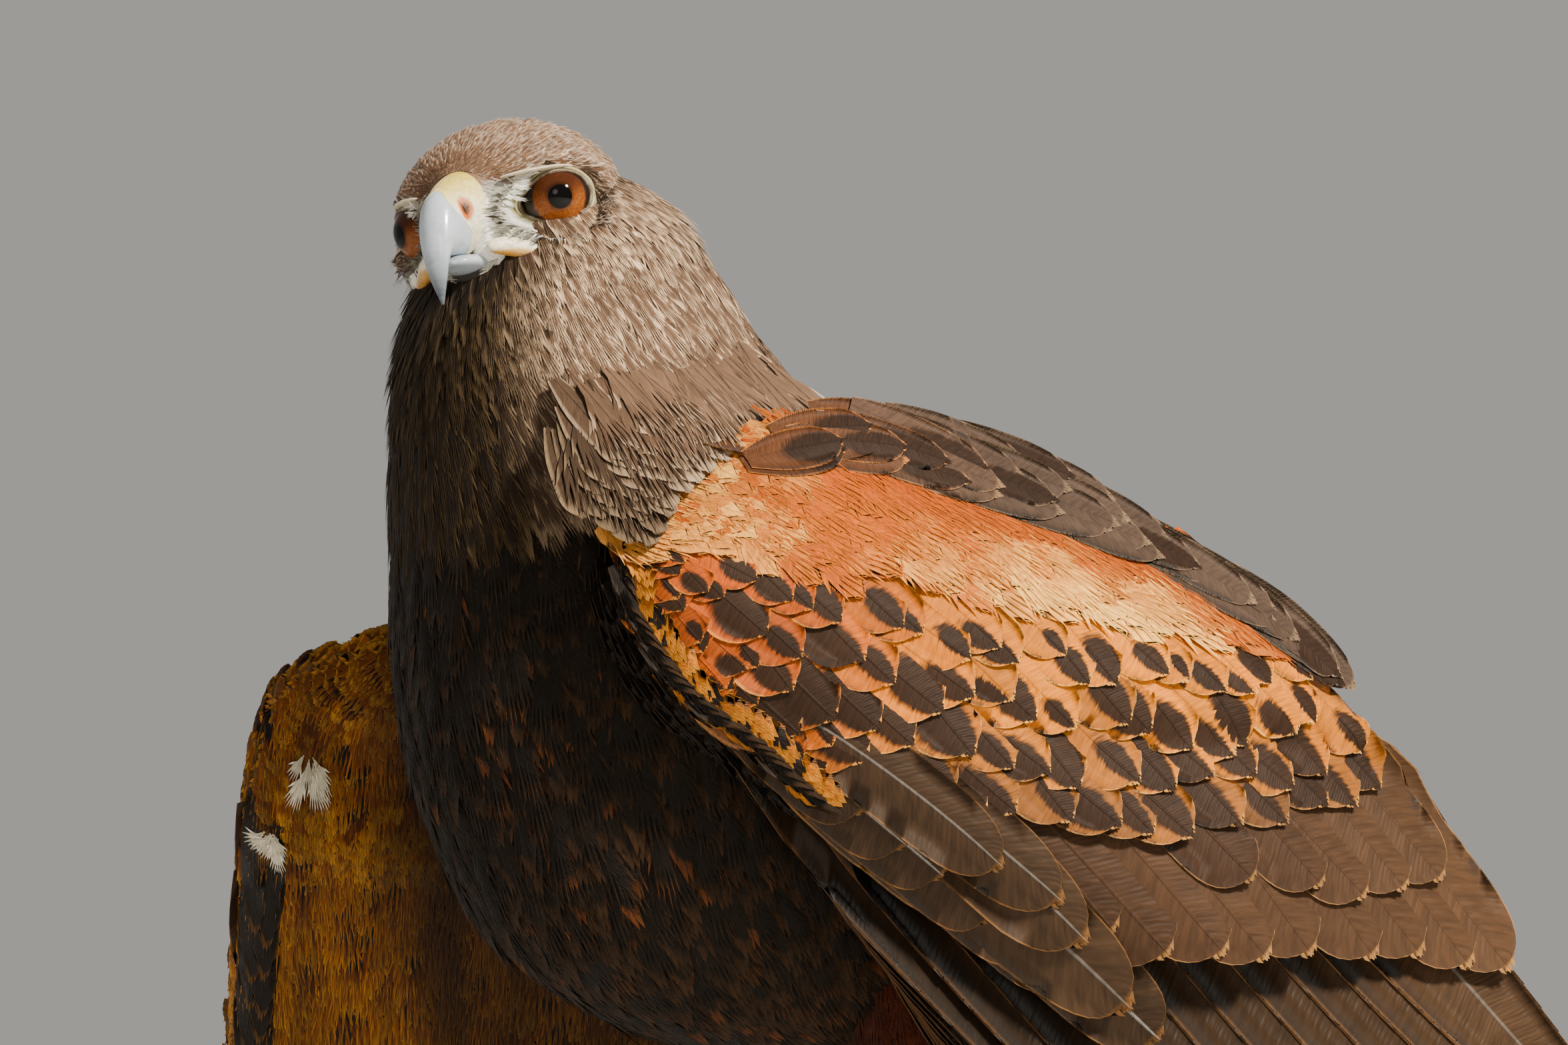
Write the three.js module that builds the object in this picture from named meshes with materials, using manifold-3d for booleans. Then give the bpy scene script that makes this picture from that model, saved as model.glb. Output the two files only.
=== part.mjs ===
// A Harris's hawk standing at rest, life size, in millimetres.
// +Z is up and the floor is z = 0. The bird faces -Y and its left side is +X.
// The head is turned a little to its left, the left elbow is held out, and the right wing droops.

import * as THREE from 'three';
import * as BufferGeometryUtils from 'three/addons/utils/BufferGeometryUtils.js';
import Module from 'manifold-3d';

const wasm = await Module();
wasm.setup();

// Driving sizes
const GAP = 0.3; // between two pieces that meet face to face
const VANE_THICK = 0.5; // one feather vane in the solids
const LAYER = 1.05; // from one overlapping vane to the next
const EYE_RADIUS = 8.8;
const EYE_CENTRE = [16.7, 3.5, 0]; // from the middle of the head between the eyes, left side
const EYE_GAZE = [0.55, -0.83, -0.07];
const EYE_OPENING = 7.0; // radius of the opening between the lids
const HEAD_PLACE = [8, -83, 393.8];
const HEAD_TURN = { yaw: 32.7, pitch: 11.8, roll: -6.9 }; // degrees
// Wings: wrist place; degrees that the elbow is held out, the forearm drops towards the elbow and
// the top leans in; degrees that the outermost and innermost feathers are opened from the folded
// wing; how far primaries bow; radius of the curve across the wing at its wrist and at its rear;
// the shoulder, and the two places on the forearm, along and inward, that its flesh runs from
const WING_POSE = {
  left: {
    wrist: [60, -69.3, 306], out: 11, drop: 20, lean: 14,
    openOuter: 0, openInner: 0, bow: 3, curve: [110, 170],
    shoulder: [30, -6, 322], flesh: [[96, 22, -2], [52, 16, -3]],
  },
  right: {
    wrist: [-95, -86, 279], out: -12, drop: 12, lean: 54,
    openOuter: 47, openInner: 14, bow: 8, curve: [340, 420],
    shoulder: [-36, -46, 318], flesh: [[74, 20, 0], [10, 10, 0]],
  },
};
const WING_CHORD = 345; // wrist to the tip of the longest primary
const TAIL_LENGTH = 240;
const TAIL_DROP = 44; // degrees below the horizontal
const TARSUS_LENGTH = 87;
const FOOT_APART = 27; // each foot from the middle plane
const FOOT_Y = 24;
const TOE_RADIUS = 4.4;
const TOE_PRESS = 0.72; // height of a toe's middle over its radius: its underside is cut flat by the floor

// Colours
const DARK_BROWN = 0x33231a;
const HEAD_BROWN = 0x54402f;
const FLIGHT_BROWN = 0x4a382b;
const RUFOUS = 0xb2591f;
const CERE_YELLOW = 0xe3cf7c;
const BILL_GREY = 0xb4bcc4;
const EYE_BROWN = 0x6f2d0d;
const LEG_YELLOW = 0xd9b23c;
const CLAW_BLACK = 0x17181b;
const TAIL_WHITE = 0xe9e4d8;

const radians = THREE.MathUtils.degToRad;
const mix = THREE.MathUtils.lerp;
const sides = [
  { name: 'left', sign: 1 },
  { name: 'right', sign: -1 },
];

// Seeded draw, so that the feathers vary the same way on every build
let seed = 20117;
function draw(spread) {
  seed = (seed * 48271) % 2147483647;
  return (seed / 2147483647 - 0.5) * 2 * spread;
}

// Smooth curve through a list of equal-length rows of numbers, t from 0 to 1
function through(rows, t) {
  const spans = rows.length - 1;
  const at = Math.min(Math.max(t, 0), 1) * spans;
  const i = Math.min(Math.floor(at), spans - 1);
  const f = at - i;
  const row = (n) => rows[Math.min(Math.max(n, 0), spans)];
  return row(i).map((p1, n) => {
    const p0 = row(i - 1)[n];
    const p2 = row(i + 1)[n];
    const p3 = row(i + 2)[n];
    const a = 2 * p1;
    const b = p2 - p0;
    const c = 2 * p0 - 5 * p1 + 4 * p2 - p3;
    const d = -p0 + 3 * p1 - 3 * p2 + p3;
    return 0.5 * (a + b * f + c * f * f + d * f * f * f);
  });
}

// A closed surface from rings of equal length. Each end is closed to its middle point.
function loft(rings) {
  const around = rings[0].length;
  const points = rings.flat();
  const faces = [];
  for (let r = 0; r + 1 < rings.length; r += 1) {
    for (let i = 0; i < around; i += 1) {
      const j = (i + 1) % around;
      const a = r * around + i;
      const b = r * around + j;
      faces.push([a, b, b + around], [a, b + around, a + around]);
    }
  }
  const middle = (ring) => ring.reduce((sum, p) => sum.add(p), new THREE.Vector3()).divideScalar(around);
  const first = points.push(middle(rings[0])) - 1;
  const last = points.push(middle(rings[rings.length - 1])) - 1;
  const end = (rings.length - 1) * around;
  for (let i = 0; i < around; i += 1) {
    const j = (i + 1) % around;
    faces.push([first, j, i], [last, end + i, end + j]);
  }
  return solid(points, faces);
}

// A solid from points and faces, turned right side out
function solid(points, faces) {
  const volume = faces.reduce((sum, [a, b, c]) => {
    const normal = new THREE.Vector3().crossVectors(points[b], points[c]);
    return sum + points[a].dot(normal);
  }, 0);
  const flip = volume < 0;
  const mesh = new wasm.Mesh({
    numProp: 3,
    vertProperties: new Float32Array(points.flatMap((p) => [p.x, p.y, p.z])),
    triVerts: new Uint32Array(faces.flatMap(([a, b, c]) => (flip ? [a, c, b] : [a, b, c]))),
  });
  return new wasm.Manifold(mesh);
}

function fromGeometry(geometry) {
  const bare = geometry.index ? geometry.toNonIndexed() : geometry.clone();
  bare.deleteAttribute('normal');
  bare.deleteAttribute('uv');
  const merged = BufferGeometryUtils.mergeVertices(bare, 1e-4);
  const places = merged.attributes.position;
  const points = [];
  for (let i = 0; i < places.count; i += 1) points.push(new THREE.Vector3().fromBufferAttribute(places, i));
  const faces = [];
  for (let i = 0; i < merged.index.count; i += 3) faces.push([0, 1, 2].map((n) => merged.index.getX(i + n)));
  return solid(points, faces);
}

function ball(radius, centre, detail = 14) {
  const geometry = new THREE.SphereGeometry(radius, detail, Math.round(detail * 0.6));
  geometry.rotateX(Math.PI / 2);
  geometry.translate(...centre);
  return fromGeometry(geometry);
}

function join(pieces) {
  return pieces.reduce((whole, piece) => whole.add(piece));
}

// The largest closed surface of a solid
function largest(body) {
  return body.decompose().reduce((best, piece) => (piece.volume() > best.volume() ? piece : best));
}

function geometryOf(body) {
  const { vertProperties, triVerts, numProp } = largest(body).getMesh();
  const geometry = new THREE.BufferGeometry();
  const places = new Float32Array((vertProperties.length / numProp) * 3);
  for (let i = 0; i < places.length / 3; i += 1) {
    for (let n = 0; n < 3; n += 1) places[i * 3 + n] = vertProperties[i * numProp + n];
  }
  geometry.setAttribute('position', new THREE.BufferAttribute(places, 3));
  geometry.setIndex(new THREE.BufferAttribute(triVerts, 1));
  geometry.computeVertexNormals();
  return geometry;
}

const hawk = new THREE.Group();

function addNode(parent, name, body, colour, roughness = 0.8) {
  const material = new THREE.MeshStandardMaterial({ color: colour, roughness, metalness: 0 });
  const mesh = new THREE.Mesh(geometryOf(body), material);
  mesh.name = name;
  parent.add(mesh);
  return mesh;
}

// A cutter given in the bird's frame, moved into a group's own frame
function inFrameOf(group, body) {
  group.updateWorldMatrix(true, false);
  return body.transform(group.matrixWorld.clone().invert().toArray());
}

// Ribs: rows of [lower y, lower z, upper y, upper z, half width, middle x]
const RIB_POWER = 2.15;
function ribRing(row, around, grow, power = RIB_POWER) {
  const [lowY, lowZ, highY, highZ, half, middleX] = row;
  const centre = new THREE.Vector3(middleX, (lowY + highY) / 2, (lowZ + highZ) / 2);
  const upward = new THREE.Vector3(0, highY - lowY, highZ - lowZ).multiplyScalar(0.5);
  const depth = upward.length();
  upward.normalize();
  const ring = [];
  for (let i = 0; i < around; i += 1) {
    const turn = (2 * Math.PI * i) / around;
    const bend = (value) => Math.sign(value) * Math.abs(value) ** (2 / power);
    const side = (half + grow) * bend(Math.cos(turn));
    const rise = (depth + grow) * bend(Math.sin(turn));
    ring.push(centre.clone().addScaledVector(upward, rise).add(new THREE.Vector3(side, 0, 0)));
  }
  return ring;
}

function ribbed(rows, { rings = 12, around = 20, grow = 0, power = RIB_POWER } = {}) {
  const list = [];
  for (let i = 0; i < rings; i += 1) list.push(ribRing(through(rows, i / (rings - 1)), around, grow, power));
  if (grow > 0) {
    const pushOut = (ring, inner) => {
      const middle = (points) => points.reduce((s, p) => s.add(p), new THREE.Vector3()).divideScalar(points.length);
      const way = middle(ring).sub(middle(inner)).setLength(grow);
      return ring.map((p) => p.clone().add(way));
    };
    list[0] = pushOut(list[0], list[1]);
    list[rings - 1] = pushOut(list[rings - 1], list[rings - 2]);
  }
  return loft(list);
}

// A round limb through stations of [x, y, z, radius across, radius up]
function limb(stations, { rings = 8, around = 10, grow = 0 } = {}) {
  const list = [];
  for (let i = 0; i < rings; i += 1) {
    const t = i / (rings - 1);
    const here = through(stations, t);
    const next = through(stations, Math.min(t + 0.02, 1));
    const last = through(stations, Math.max(t - 0.02, 0));
    const along = new THREE.Vector3(next[0] - last[0], next[1] - last[1], next[2] - last[2]).normalize();
    const reference = Math.abs(along.z) > 0.9 ? new THREE.Vector3(0, 1, 0) : new THREE.Vector3(0, 0, 1);
    const across = new THREE.Vector3().crossVectors(along, reference).normalize();
    const over = new THREE.Vector3().crossVectors(across, along);
    const ring = [];
    for (let n = 0; n < around; n += 1) {
      const turn = (2 * Math.PI * n) / around;
      ring.push(
        new THREE.Vector3(here[0], here[1], here[2])
          .addScaledVector(across, (here[3] + grow) * Math.cos(turn))
          .addScaledVector(over, (here[4] + grow) * Math.sin(turn)),
      );
    }
    list.push(ring);
  }
  return loft(list);
}

// One feather vane on a curved sheet. place(along, across, height) gives the point on the sheet.
const LONG_VANE = { stations: [0, 0.4, 0.82, 1], widths: [0.34, 0.92, 0.94, 0.46] };
const SHORT_VANE = { stations: [0, 0.72, 1], widths: [0.26, 1, 0.5] };
function vane(place, { root, tip, width, level, sweep = 0, sink = 0, form = LONG_VANE }) {
  const along = new THREE.Vector2(tip[0] - root[0], tip[1] - root[1]);
  const length = along.length();
  along.normalize();
  const across = new THREE.Vector2(-along.y, along.x);
  const last = form.stations.length - 1;
  const points = [];
  for (const face of [-0.5, 0.5]) {
    form.stations.forEach((t, station) => {
      for (const part of [-1, 0, 1]) {
        const end = station === last;
        const reach = (end && part !== 0 ? 0.955 : t) * length;
        const bow = sweep * 4 * t * (1 - t);
        const side = part * form.widths[station] * width * 0.5 + bow;
        const a = root[0] + along.x * reach + across.x * side;
        const b = root[1] + along.y * reach + across.y * side;
        const thick = end ? VANE_THICK * 0.6 : VANE_THICK;
        const dive = station === 0 ? sink : 0;
        points.push(place(a, b, level + face * thick - dive));
      }
    });
  }
  const faces = [];
  const sheet = form.stations.length * 3;
  for (let s = 0; s < last; s += 1) {
    for (let n = 0; n < 2; n += 1) {
      const a = s * 3 + n;
      faces.push([a, a + 1, a + 4], [a, a + 4, a + 3]);
      faces.push([sheet + a, sheet + a + 4, sheet + a + 1], [sheet + a, sheet + a + 3, sheet + a + 4]);
    }
    for (const n of [0, 2]) {
      const a = s * 3 + n;
      const b = a + 3;
      if (n === 0) faces.push([a, b, sheet + b], [a, sheet + b, sheet + a]);
      else faces.push([a, sheet + b, b], [a, sheet + a, sheet + b]);
    }
  }
  for (const n of [0, 1]) {
    faces.push([n, sheet + n, sheet + n + 1], [n, sheet + n + 1, n + 1]);
    const e = last * 3 + n;
    faces.push([e, sheet + e + 1, sheet + e], [e, e + 1, sheet + e + 1]);
  }
  return solid(points, faces);
}

// Torso
const torsoRibs = [
  [-98, 326, 0, 360, 45, 0],
  [-98, 296, 24, 352, 50, 0],
  [-92, 264, 50, 339, 54, 0],
  [-74, 232, 79, 320, 55, 0],
  [-34, 210, 106, 298, 53, 0],
  [32, 204, 128, 277, 44, 0],
  [90, 210, 144, 261, 31, 0],
  [126, 217, 156, 250, 19, 0],
];
const torsoBody = (grow) => ribbed(torsoRibs, { rings: 10, around: 16, grow });

// The back line, z at a given y, from the upper ends of the ribs
function backLine(y) {
  const rows = torsoRibs.map((row) => [row[2], row[3]]);
  const place = rows.findIndex((row) => row[0] > y);
  if (place <= 0) return place === 0 ? rows[0][1] + (rows[0][0] - y) * 0.3 : rows[rows.length - 1][1];
  const [low, high] = [rows[place - 1], rows[place]];
  return mix(low[1], high[1], (y - low[0]) / (high[0] - low[0]));
}

// Scapular feathers, in two tiers on each side, over the back and the top of the wing
const SCAPULAR = { count: 4, firstX: 14, stepX: 13, width: 29, drop: 12, dropAt: 58, liftFront: -6, liftRear: 3 };
const scapularTiers = [
  { rootY: 8, length: 112, level: 0 },
  { rootY: -10, length: 70, level: 5 },
];
function scapularSheet(sign) {
  return (y, x, h) => {
    const lift = mix(SCAPULAR.liftFront, SCAPULAR.liftRear, Math.min(Math.max(y / 60, 0), 1));
    const z = backLine(y) - SCAPULAR.drop * (x / SCAPULAR.dropAt) ** 3 + lift + h;
    return new THREE.Vector3(sign * x, y, z);
  };
}
function scapulars(sign) {
  const place = scapularSheet(sign);
  const list = [];
  for (const tier of scapularTiers) {
    for (let i = 0; i < SCAPULAR.count; i += 1) {
      const x = SCAPULAR.firstX + i * SCAPULAR.stepX;
      const length = tier.length * (1 - 0.05 * Math.abs(i - 1.5)) + draw(2);
      list.push(
        vane(place, {
          root: [tier.rootY, x * 0.82],
          tip: [tier.rootY + length, x + 4],
          width: SCAPULAR.width,
          level: tier.level + LAYER * (SCAPULAR.count - 1 - i),
          sink: 12 + tier.level + 3 * i,
          form: tier.length > 100 ? LONG_VANE : SHORT_VANE,
        }),
      );
    }
  }
  return list;
}
addNode(hawk, 'torso', join([torsoBody(0), ...scapulars(1), ...scapulars(-1)]), DARK_BROWN);

// Head: eyes, cere and bill in a group that is turned and set over the neck
const head = new THREE.Group();
head.rotation.set(radians(HEAD_TURN.pitch), radians(HEAD_TURN.roll), radians(HEAD_TURN.yaw), 'ZXY');
head.position.set(...HEAD_PLACE);
hawk.add(head);

const headRibs = [
  [37, -12, 37, 4, 8, 0],
  [31, -20, 31, 14.5, 19, 0],
  [20, -26, 19, 20, 25, 0],
  [6, -28, 5, 20.8, 27.2, 0],
  [-4, -26, -4, 17.2, 23.6, 0],
  [-10.5, -19.5, -10.5, 11.6, 12.2, 0],
  [-15, -16, -15, 8.8, 8.4, 0],
];
const cereRibs = [
  [-9.5, -10.4, -9.5, 10.4, 9, 0],
  [-14, -9.9, -15.5, 8.5, 7.4, 0],
  [-15.4, -9.4, -19.8, 6.4, 5.8, 0],
];
const upperBillRibs = [
  [-15.4, -9.4, -19.8, 6.4, 5.5, 0],
  [-19.6, -9.4, -23.9, 4.3, 5, 0],
  [-23, -9.7, -26.6, 0, 4.3, 0],
  [-25.4, -11.8, -28.2, -5.8, 3.4, 0],
  [-26.8, -15.4, -28.8, -12.2, 2.3, 0],
  [-28, -20.3, -28.4, -20.1, 0.3, 0],
];
const lowerBillRibs = [
  [-5, -16, -5, -10.4, 7.6, 0],
  [-13.5, -14.6, -14, -9.9, 5.8, 0],
  [-19.4, -13.6, -20, -10.2, 4.2, 0],
  [-22.6, -12.6, -23, -11.4, 1.4, 0],
];
const cereBody = (grow) => ribbed(cereRibs, { rings: 3, around: 12, grow });
const lowerBillBody = (grow) => ribbed(lowerBillRibs, { rings: 5, around: 8, grow });
const skullBody = (grow) => ribbed(headRibs, { rings: 8, around: 16, grow });

function besideEye(sign, along, radius) {
  const gaze = new THREE.Vector3(sign * EYE_GAZE[0], EYE_GAZE[1], EYE_GAZE[2]).normalize();
  const centre = new THREE.Vector3(sign * EYE_CENTRE[0], EYE_CENTRE[1], EYE_CENTRE[2]);
  const turn = new THREE.Quaternion().setFromUnitVectors(new THREE.Vector3(0, 0, 1), gaze);
  return { place: centre.addScaledVector(gaze, along), turn, radius };
}
const LID_THICK = 1.2;
function lidRing(sign) {
  const { place, turn } = besideEye(sign, 5.3, EYE_OPENING);
  const geometry = new THREE.TorusGeometry(EYE_OPENING + LID_THICK * 0.6, LID_THICK, 4, 12);
  geometry.applyQuaternion(turn);
  geometry.translate(place.x, place.y, place.z);
  return fromGeometry(geometry);
}
function eyeOpening(sign) {
  const depth = 14;
  const { place, turn } = besideEye(sign, 4.2 + depth / 2, EYE_OPENING);
  const geometry = new THREE.CylinderGeometry(EYE_OPENING * 1.5, EYE_OPENING * 0.94, depth, 12);
  geometry.rotateX(Math.PI / 2);
  geometry.applyQuaternion(turn);
  geometry.translate(place.x, place.y, place.z);
  return fromGeometry(geometry);
}
function brow(sign) {
  return limb(
    [
      [sign * 11.5, -11.5, 7, 1.6, 1.2],
      [sign * 17, -7.5, 7.3, 2.6, 1.4],
      [sign * 22.6, 0.5, 7.2, 2.6, 1.4],
      [sign * 24.6, 9, 6, 1.5, 1.1],
    ],
    { rings: 4, around: 6 },
  );
}
function gapeFlange(sign, grow = 0) {
  return limb(
    [
      [sign * 19.2, -3.2, -12.9, 1, 0.9],
      [sign * 14, -8.4, -11, 1.5, 1.7],
      [sign * 7.6, -15.6, -9.2, 0.9, 0.8],
    ],
    { rings: 3, around: 5, grow },
  );
}
let headSolid = skullBody(0);
for (const { sign } of sides) headSolid = headSolid.add(brow(sign)).add(lidRing(sign)).add(gapeFlange(sign));
for (const { sign } of sides) {
  const centre = [sign * EYE_CENTRE[0], EYE_CENTRE[1], EYE_CENTRE[2]];
  headSolid = headSolid.subtract(eyeOpening(sign)).subtract(ball(EYE_RADIUS + GAP, centre, 12));
}
// The eye opening takes the outer part of the lids with it, so they are set on again round the eyeball
for (const { sign } of sides) {
  const centre = [sign * EYE_CENTRE[0], EYE_CENTRE[1], EYE_CENTRE[2]];
  headSolid = headSolid.add(lidRing(sign)).subtract(ball(EYE_RADIUS + GAP, centre, 12));
}
headSolid = headSolid.subtract(cereBody(GAP)).subtract(lowerBillBody(GAP));
addNode(head, 'head', headSolid, HEAD_BROWN);

for (const { name, sign } of sides) {
  const eye = addNode(head, `eye_${name}`, ball(EYE_RADIUS - 0.1, [0, 0, 0], 12), EYE_BROWN, 0.1);
  eye.position.set(sign * EYE_CENTRE[0], EYE_CENTRE[1], EYE_CENTRE[2]);
}

// Nostrils: a small oval pit on each side of the cere
let cere = cereBody(0);
for (const { sign } of sides) {
  const pit = new THREE.SphereGeometry(1.6, 7, 5);
  pit.scale(0.8, 0.7, 1.15);
  pit.translate(sign * 6.3, -18.6, 0.5);
  cere = cere.subtract(fromGeometry(pit));
}
cere = cere.subtract(lowerBillBody(GAP));
addNode(head, 'cere', cere, CERE_YELLOW, 0.6);
const upperBill = ribbed(upperBillRibs, { rings: 9, around: 10, power: 2 });
addNode(head, 'bill_upper', upperBill.subtract(cereBody(GAP)).subtract(lowerBillBody(GAP)), BILL_GREY, 0.35);
addNode(head, 'bill_lower', lowerBillBody(0), BILL_GREY, 0.35);

// Neck, from the torso up into the seat of the head
const neckRibs = [
  [-98, 324, 0, 358, 45, 0],
  [-98.5, 346, -14, 374, 38.5, 0],
  [-98, 366, -25, 388, 32, 2],
  [-92, 384, -36, 400, 26, 3],
  [-84, 398, -52, 408, 14, 5],
];
head.updateWorldMatrix(true, false);
const headSeat = join([skullBody(GAP), lowerBillBody(GAP), gapeFlange(1, GAP), gapeFlange(-1, GAP)])
  .transform(head.matrixWorld.toArray());
const neckBody = ribbed(neckRibs, { rings: 5, around: 16 });
addNode(hawk, 'neck', neckBody.subtract(torsoBody(GAP)).subtract(headSeat), HEAD_BROWN);

// Wings. The wing sheet: a runs back along the forearm, b down across the wing, h out of it.
const HAND_LEVELS = { outer: -21, step: LAYER };
const FLIGHT_LEVEL = -9.45; // outermost secondary; each inner one lies one layer higher
const WING_TUCK = { radius: 1500, from: 90 };
function wingSheet(sign, pose) {
  return (a, b, h) => {
    const radius = mix(...pose.curve, Math.min(Math.max((a - 60) / 160, 0), 1));
    const past = Math.max(a - WING_TUCK.from, 0);
    const fold = ((b + 5) * (b + 5)) / (2 * radius) / (1 + Math.abs(b) / 120);
    const tuck = (past * past) / (2 * WING_TUCK.radius);
    return new THREE.Vector3(a, -sign * b, h - fold - tuck);
  };
}

function wingGroup(sign, pose) {
  const out = radians(pose.out);
  const drop = radians(pose.drop);
  const lean = radians(pose.lean);
  const along = new THREE.Vector3(sign * Math.sin(out) * Math.cos(drop), Math.cos(out) * Math.cos(drop), -Math.sin(drop));
  const flat = new THREE.Vector3(sign * Math.cos(out), -Math.sin(out), 0);
  const down = new THREE.Vector3().crossVectors(along, flat).multiplyScalar(sign);
  const outward = flat.clone().multiplyScalar(Math.cos(lean)).addScaledVector(down, -Math.sin(lean));
  const across = new THREE.Vector3().crossVectors(outward, along);
  const group = new THREE.Group();
  group.quaternion.setFromRotationMatrix(new THREE.Matrix4().makeBasis(along, across, outward));
  group.position.set(...pose.wrist);
  hawk.add(group);
  return group;
}

// The arm under the coverts: rows of [a, middle b, middle h, half b, half h]
const armRows = [
  [-7, 4, -4, 5, 4],
  [6, 0, -2.5, 16, 8.5],
  [34, -14, -0.5, 29, 10.5],
  [75, -24, 2.5, 31, 10.5],
  [115, -29, 5.5, 25, 9],
  [145, -31, 8, 14, 6],
  [163, -31, 9, 4, 2.5],
];
const handRows = [
  [2, 4, -14.5, 4, 3.5],
  [18, 10, -16, 7, 5.6],
  [44, 21, -16.6, 6.5, 5.6],
  [72, 32, -18, 4.5, 4.2],
  [82, 36, -18.5, 2, 2],
];
function sheetLimb(place, rows, { rings, around, grow = 0, turned = (point) => point }) {
  const list = [];
  for (let i = 0; i < rings; i += 1) {
    const [a, b, h, halfB, halfH] = through(rows, i / (rings - 1));
    const ring = [];
    for (let n = 0; n < around; n += 1) {
      const turn = (2 * Math.PI * n) / around;
      const flat = turned([a, b + (halfB + grow) * Math.cos(turn)]);
      ring.push(place(...flat, h + (halfH + grow) * Math.sin(turn)));
    }
    list.push(ring);
  }
  return loft(list);
}

const SECONDARIES = 10;
const PRIMARIES = 10;
// A place on the sheet turned about another by the wing's opening. order is 0 at the outermost
// primary and 1 at the innermost secondary.
function opened(pose, order, centre, point) {
  const angle = radians(mix(pose.openOuter, pose.openInner, order));
  const a = point[0] - centre[0];
  const b = point[1] - centre[1];
  return [
    centre[0] + a * Math.cos(angle) - b * Math.sin(angle),
    centre[1] + a * Math.sin(angle) + b * Math.cos(angle),
  ];
}
const WRIST = [0, 0];
function secondaries(place, pose) {
  const list = [];
  for (let i = 0; i < SECONDARIES; i += 1) {
    const t = i / (SECONDARIES - 1);
    const root = [mix(20, 118, t), mix(-3, -40, t)];
    const folded = through([[222, 94], [250, 90], [270, 80], [276, 58], [256, 30]], t);
    const tip = opened(pose, mix(0.36, 1, t), root, folded);
    list.push(vane(place, { root, tip, width: 32, level: FLIGHT_LEVEL + i * LAYER, sweep: 2 + draw(0.5) }));
  }
  return list;
}
function primaries(place, pose) {
  const list = [];
  for (let i = 0; i < PRIMARIES; i += 1) {
    const t = i / (PRIMARIES - 1);
    const root = opened(pose, 0.1, WRIST, [mix(64, 16, t), mix(28.5, 9, t)]);
    const reach = WING_CHORD * through([[0.82], [0.93], [0.985], [1], [0.985], [0.93], [0.87], [0.82], [0.78], [0.75]], t)[0];
    const angle = radians(mix(28, 23, t));
    const folded = [reach * Math.cos(angle), reach * Math.sin(angle)];
    const tip = opened(pose, mix(0, 0.3, t), WRIST, folded);
    const level = HAND_LEVELS.outer + i * HAND_LEVELS.step;
    list.push(vane(place, { root, tip, width: mix(21, 27, t), level, sweep: pose.bow }));
  }
  return list;
}

// Covert tiers: tips follow the edges seen on the folded wing
const covertTiers = [
  { name: 'greater', count: 7, level: -1, width: 34, back: [60, 84], turn: [24, 30],
    tips: [[66, 30], [102, 39], [140, 37], [184, 22], [221, 0]] },
  { name: 'median', count: 7, level: 2.6, width: 30, back: [36, 52], turn: [26, 32],
    tips: [[34, 19], [64, 21], [100, 20], [142, 6], [177, -19]] },
  { name: 'lesser', count: 6, level: 6.2, width: 31, back: [26, 44], turn: [22, 30],
    tips: [[27, 8], [52, 2], [84, -4], [120, -15], [152, -36]] },
];
function coverts(place, pose) {
  const list = [];
  for (const tier of covertTiers) {
    for (let i = 0; i < tier.count; i += 1) {
      const t = i / (tier.count - 1);
      const folded = through(tier.tips, t);
      const length = mix(tier.back[0], tier.back[1], t) + draw(1.5);
      const angle = radians(mix(tier.turn[0], tier.turn[1], t));
      const root = [folded[0] - length * Math.cos(angle), folded[1] - length * Math.sin(angle)];
      const tip = opened(pose, mix(0.3, 1, t), root, folded);
      const level = tier.level + i * LAYER;
      list.push(vane(place, { root, tip, width: tier.width, level, form: SHORT_VANE }));
    }
  }
  return list;
}

// Alula and primary coverts along the lower edge, rooted at the wrist
const handCovertTips = [[134, 44], [121, 36], [98, 31], [74, 26]];
function handCoverts(place, pose) {
  return handCovertTips.map((folded, i) => {
    const root = opened(pose, 0.1, WRIST, [mix(10, 18, i / 3), mix(7, 1, i / 3)]);
    const tip = opened(pose, mix(0, 0.2, i / 3), WRIST, folded);
    return vane(place, { root, tip, width: mix(19, 15, i / 3), level: -5.4 + i * LAYER, sweep: 1.5 });
  });
}

// The upper arm, from the inner side of the forearm to the side of the torso
function upperArm(group, sign, pose) {
  const onForearm = ([a, b, h]) => new THREE.Vector3(a, sign * b, h).applyMatrix4(group.matrixWorld);
  const [elbow, fore] = pose.flesh.map(onForearm);
  const shoulder = new THREE.Vector3(...pose.shoulder);
  const middle = elbow.clone().lerp(fore, 0.5).lerp(shoulder, 0.45);
  const station = (p, wide, high) => [p.x, p.y, p.z, wide, high];
  return limb(
    [station(elbow, 8, 8), station(elbow.clone().lerp(middle, 0.6), 14, 12), station(middle, 17, 14), station(shoulder, 16, 13)],
    { rings: 5, around: 9 },
  );
}

// Everything under the scapulars stays below this slab
function scapularSlab(sign) {
  const place = scapularSheet(sign);
  const rings = [];
  for (let i = 0; i <= 6; i += 1) {
    const y = mix(-34, 122, i / 6);
    const low = -1.2;
    const ring = [[-2, low], [24, low], [44, low], [66, low - 1], [66, 24], [44, 24], [24, 24], [-2, 24]];
    rings.push(ring.map(([x, h]) => place(y, x, h)));
  }
  return loft(rings);
}

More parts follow.
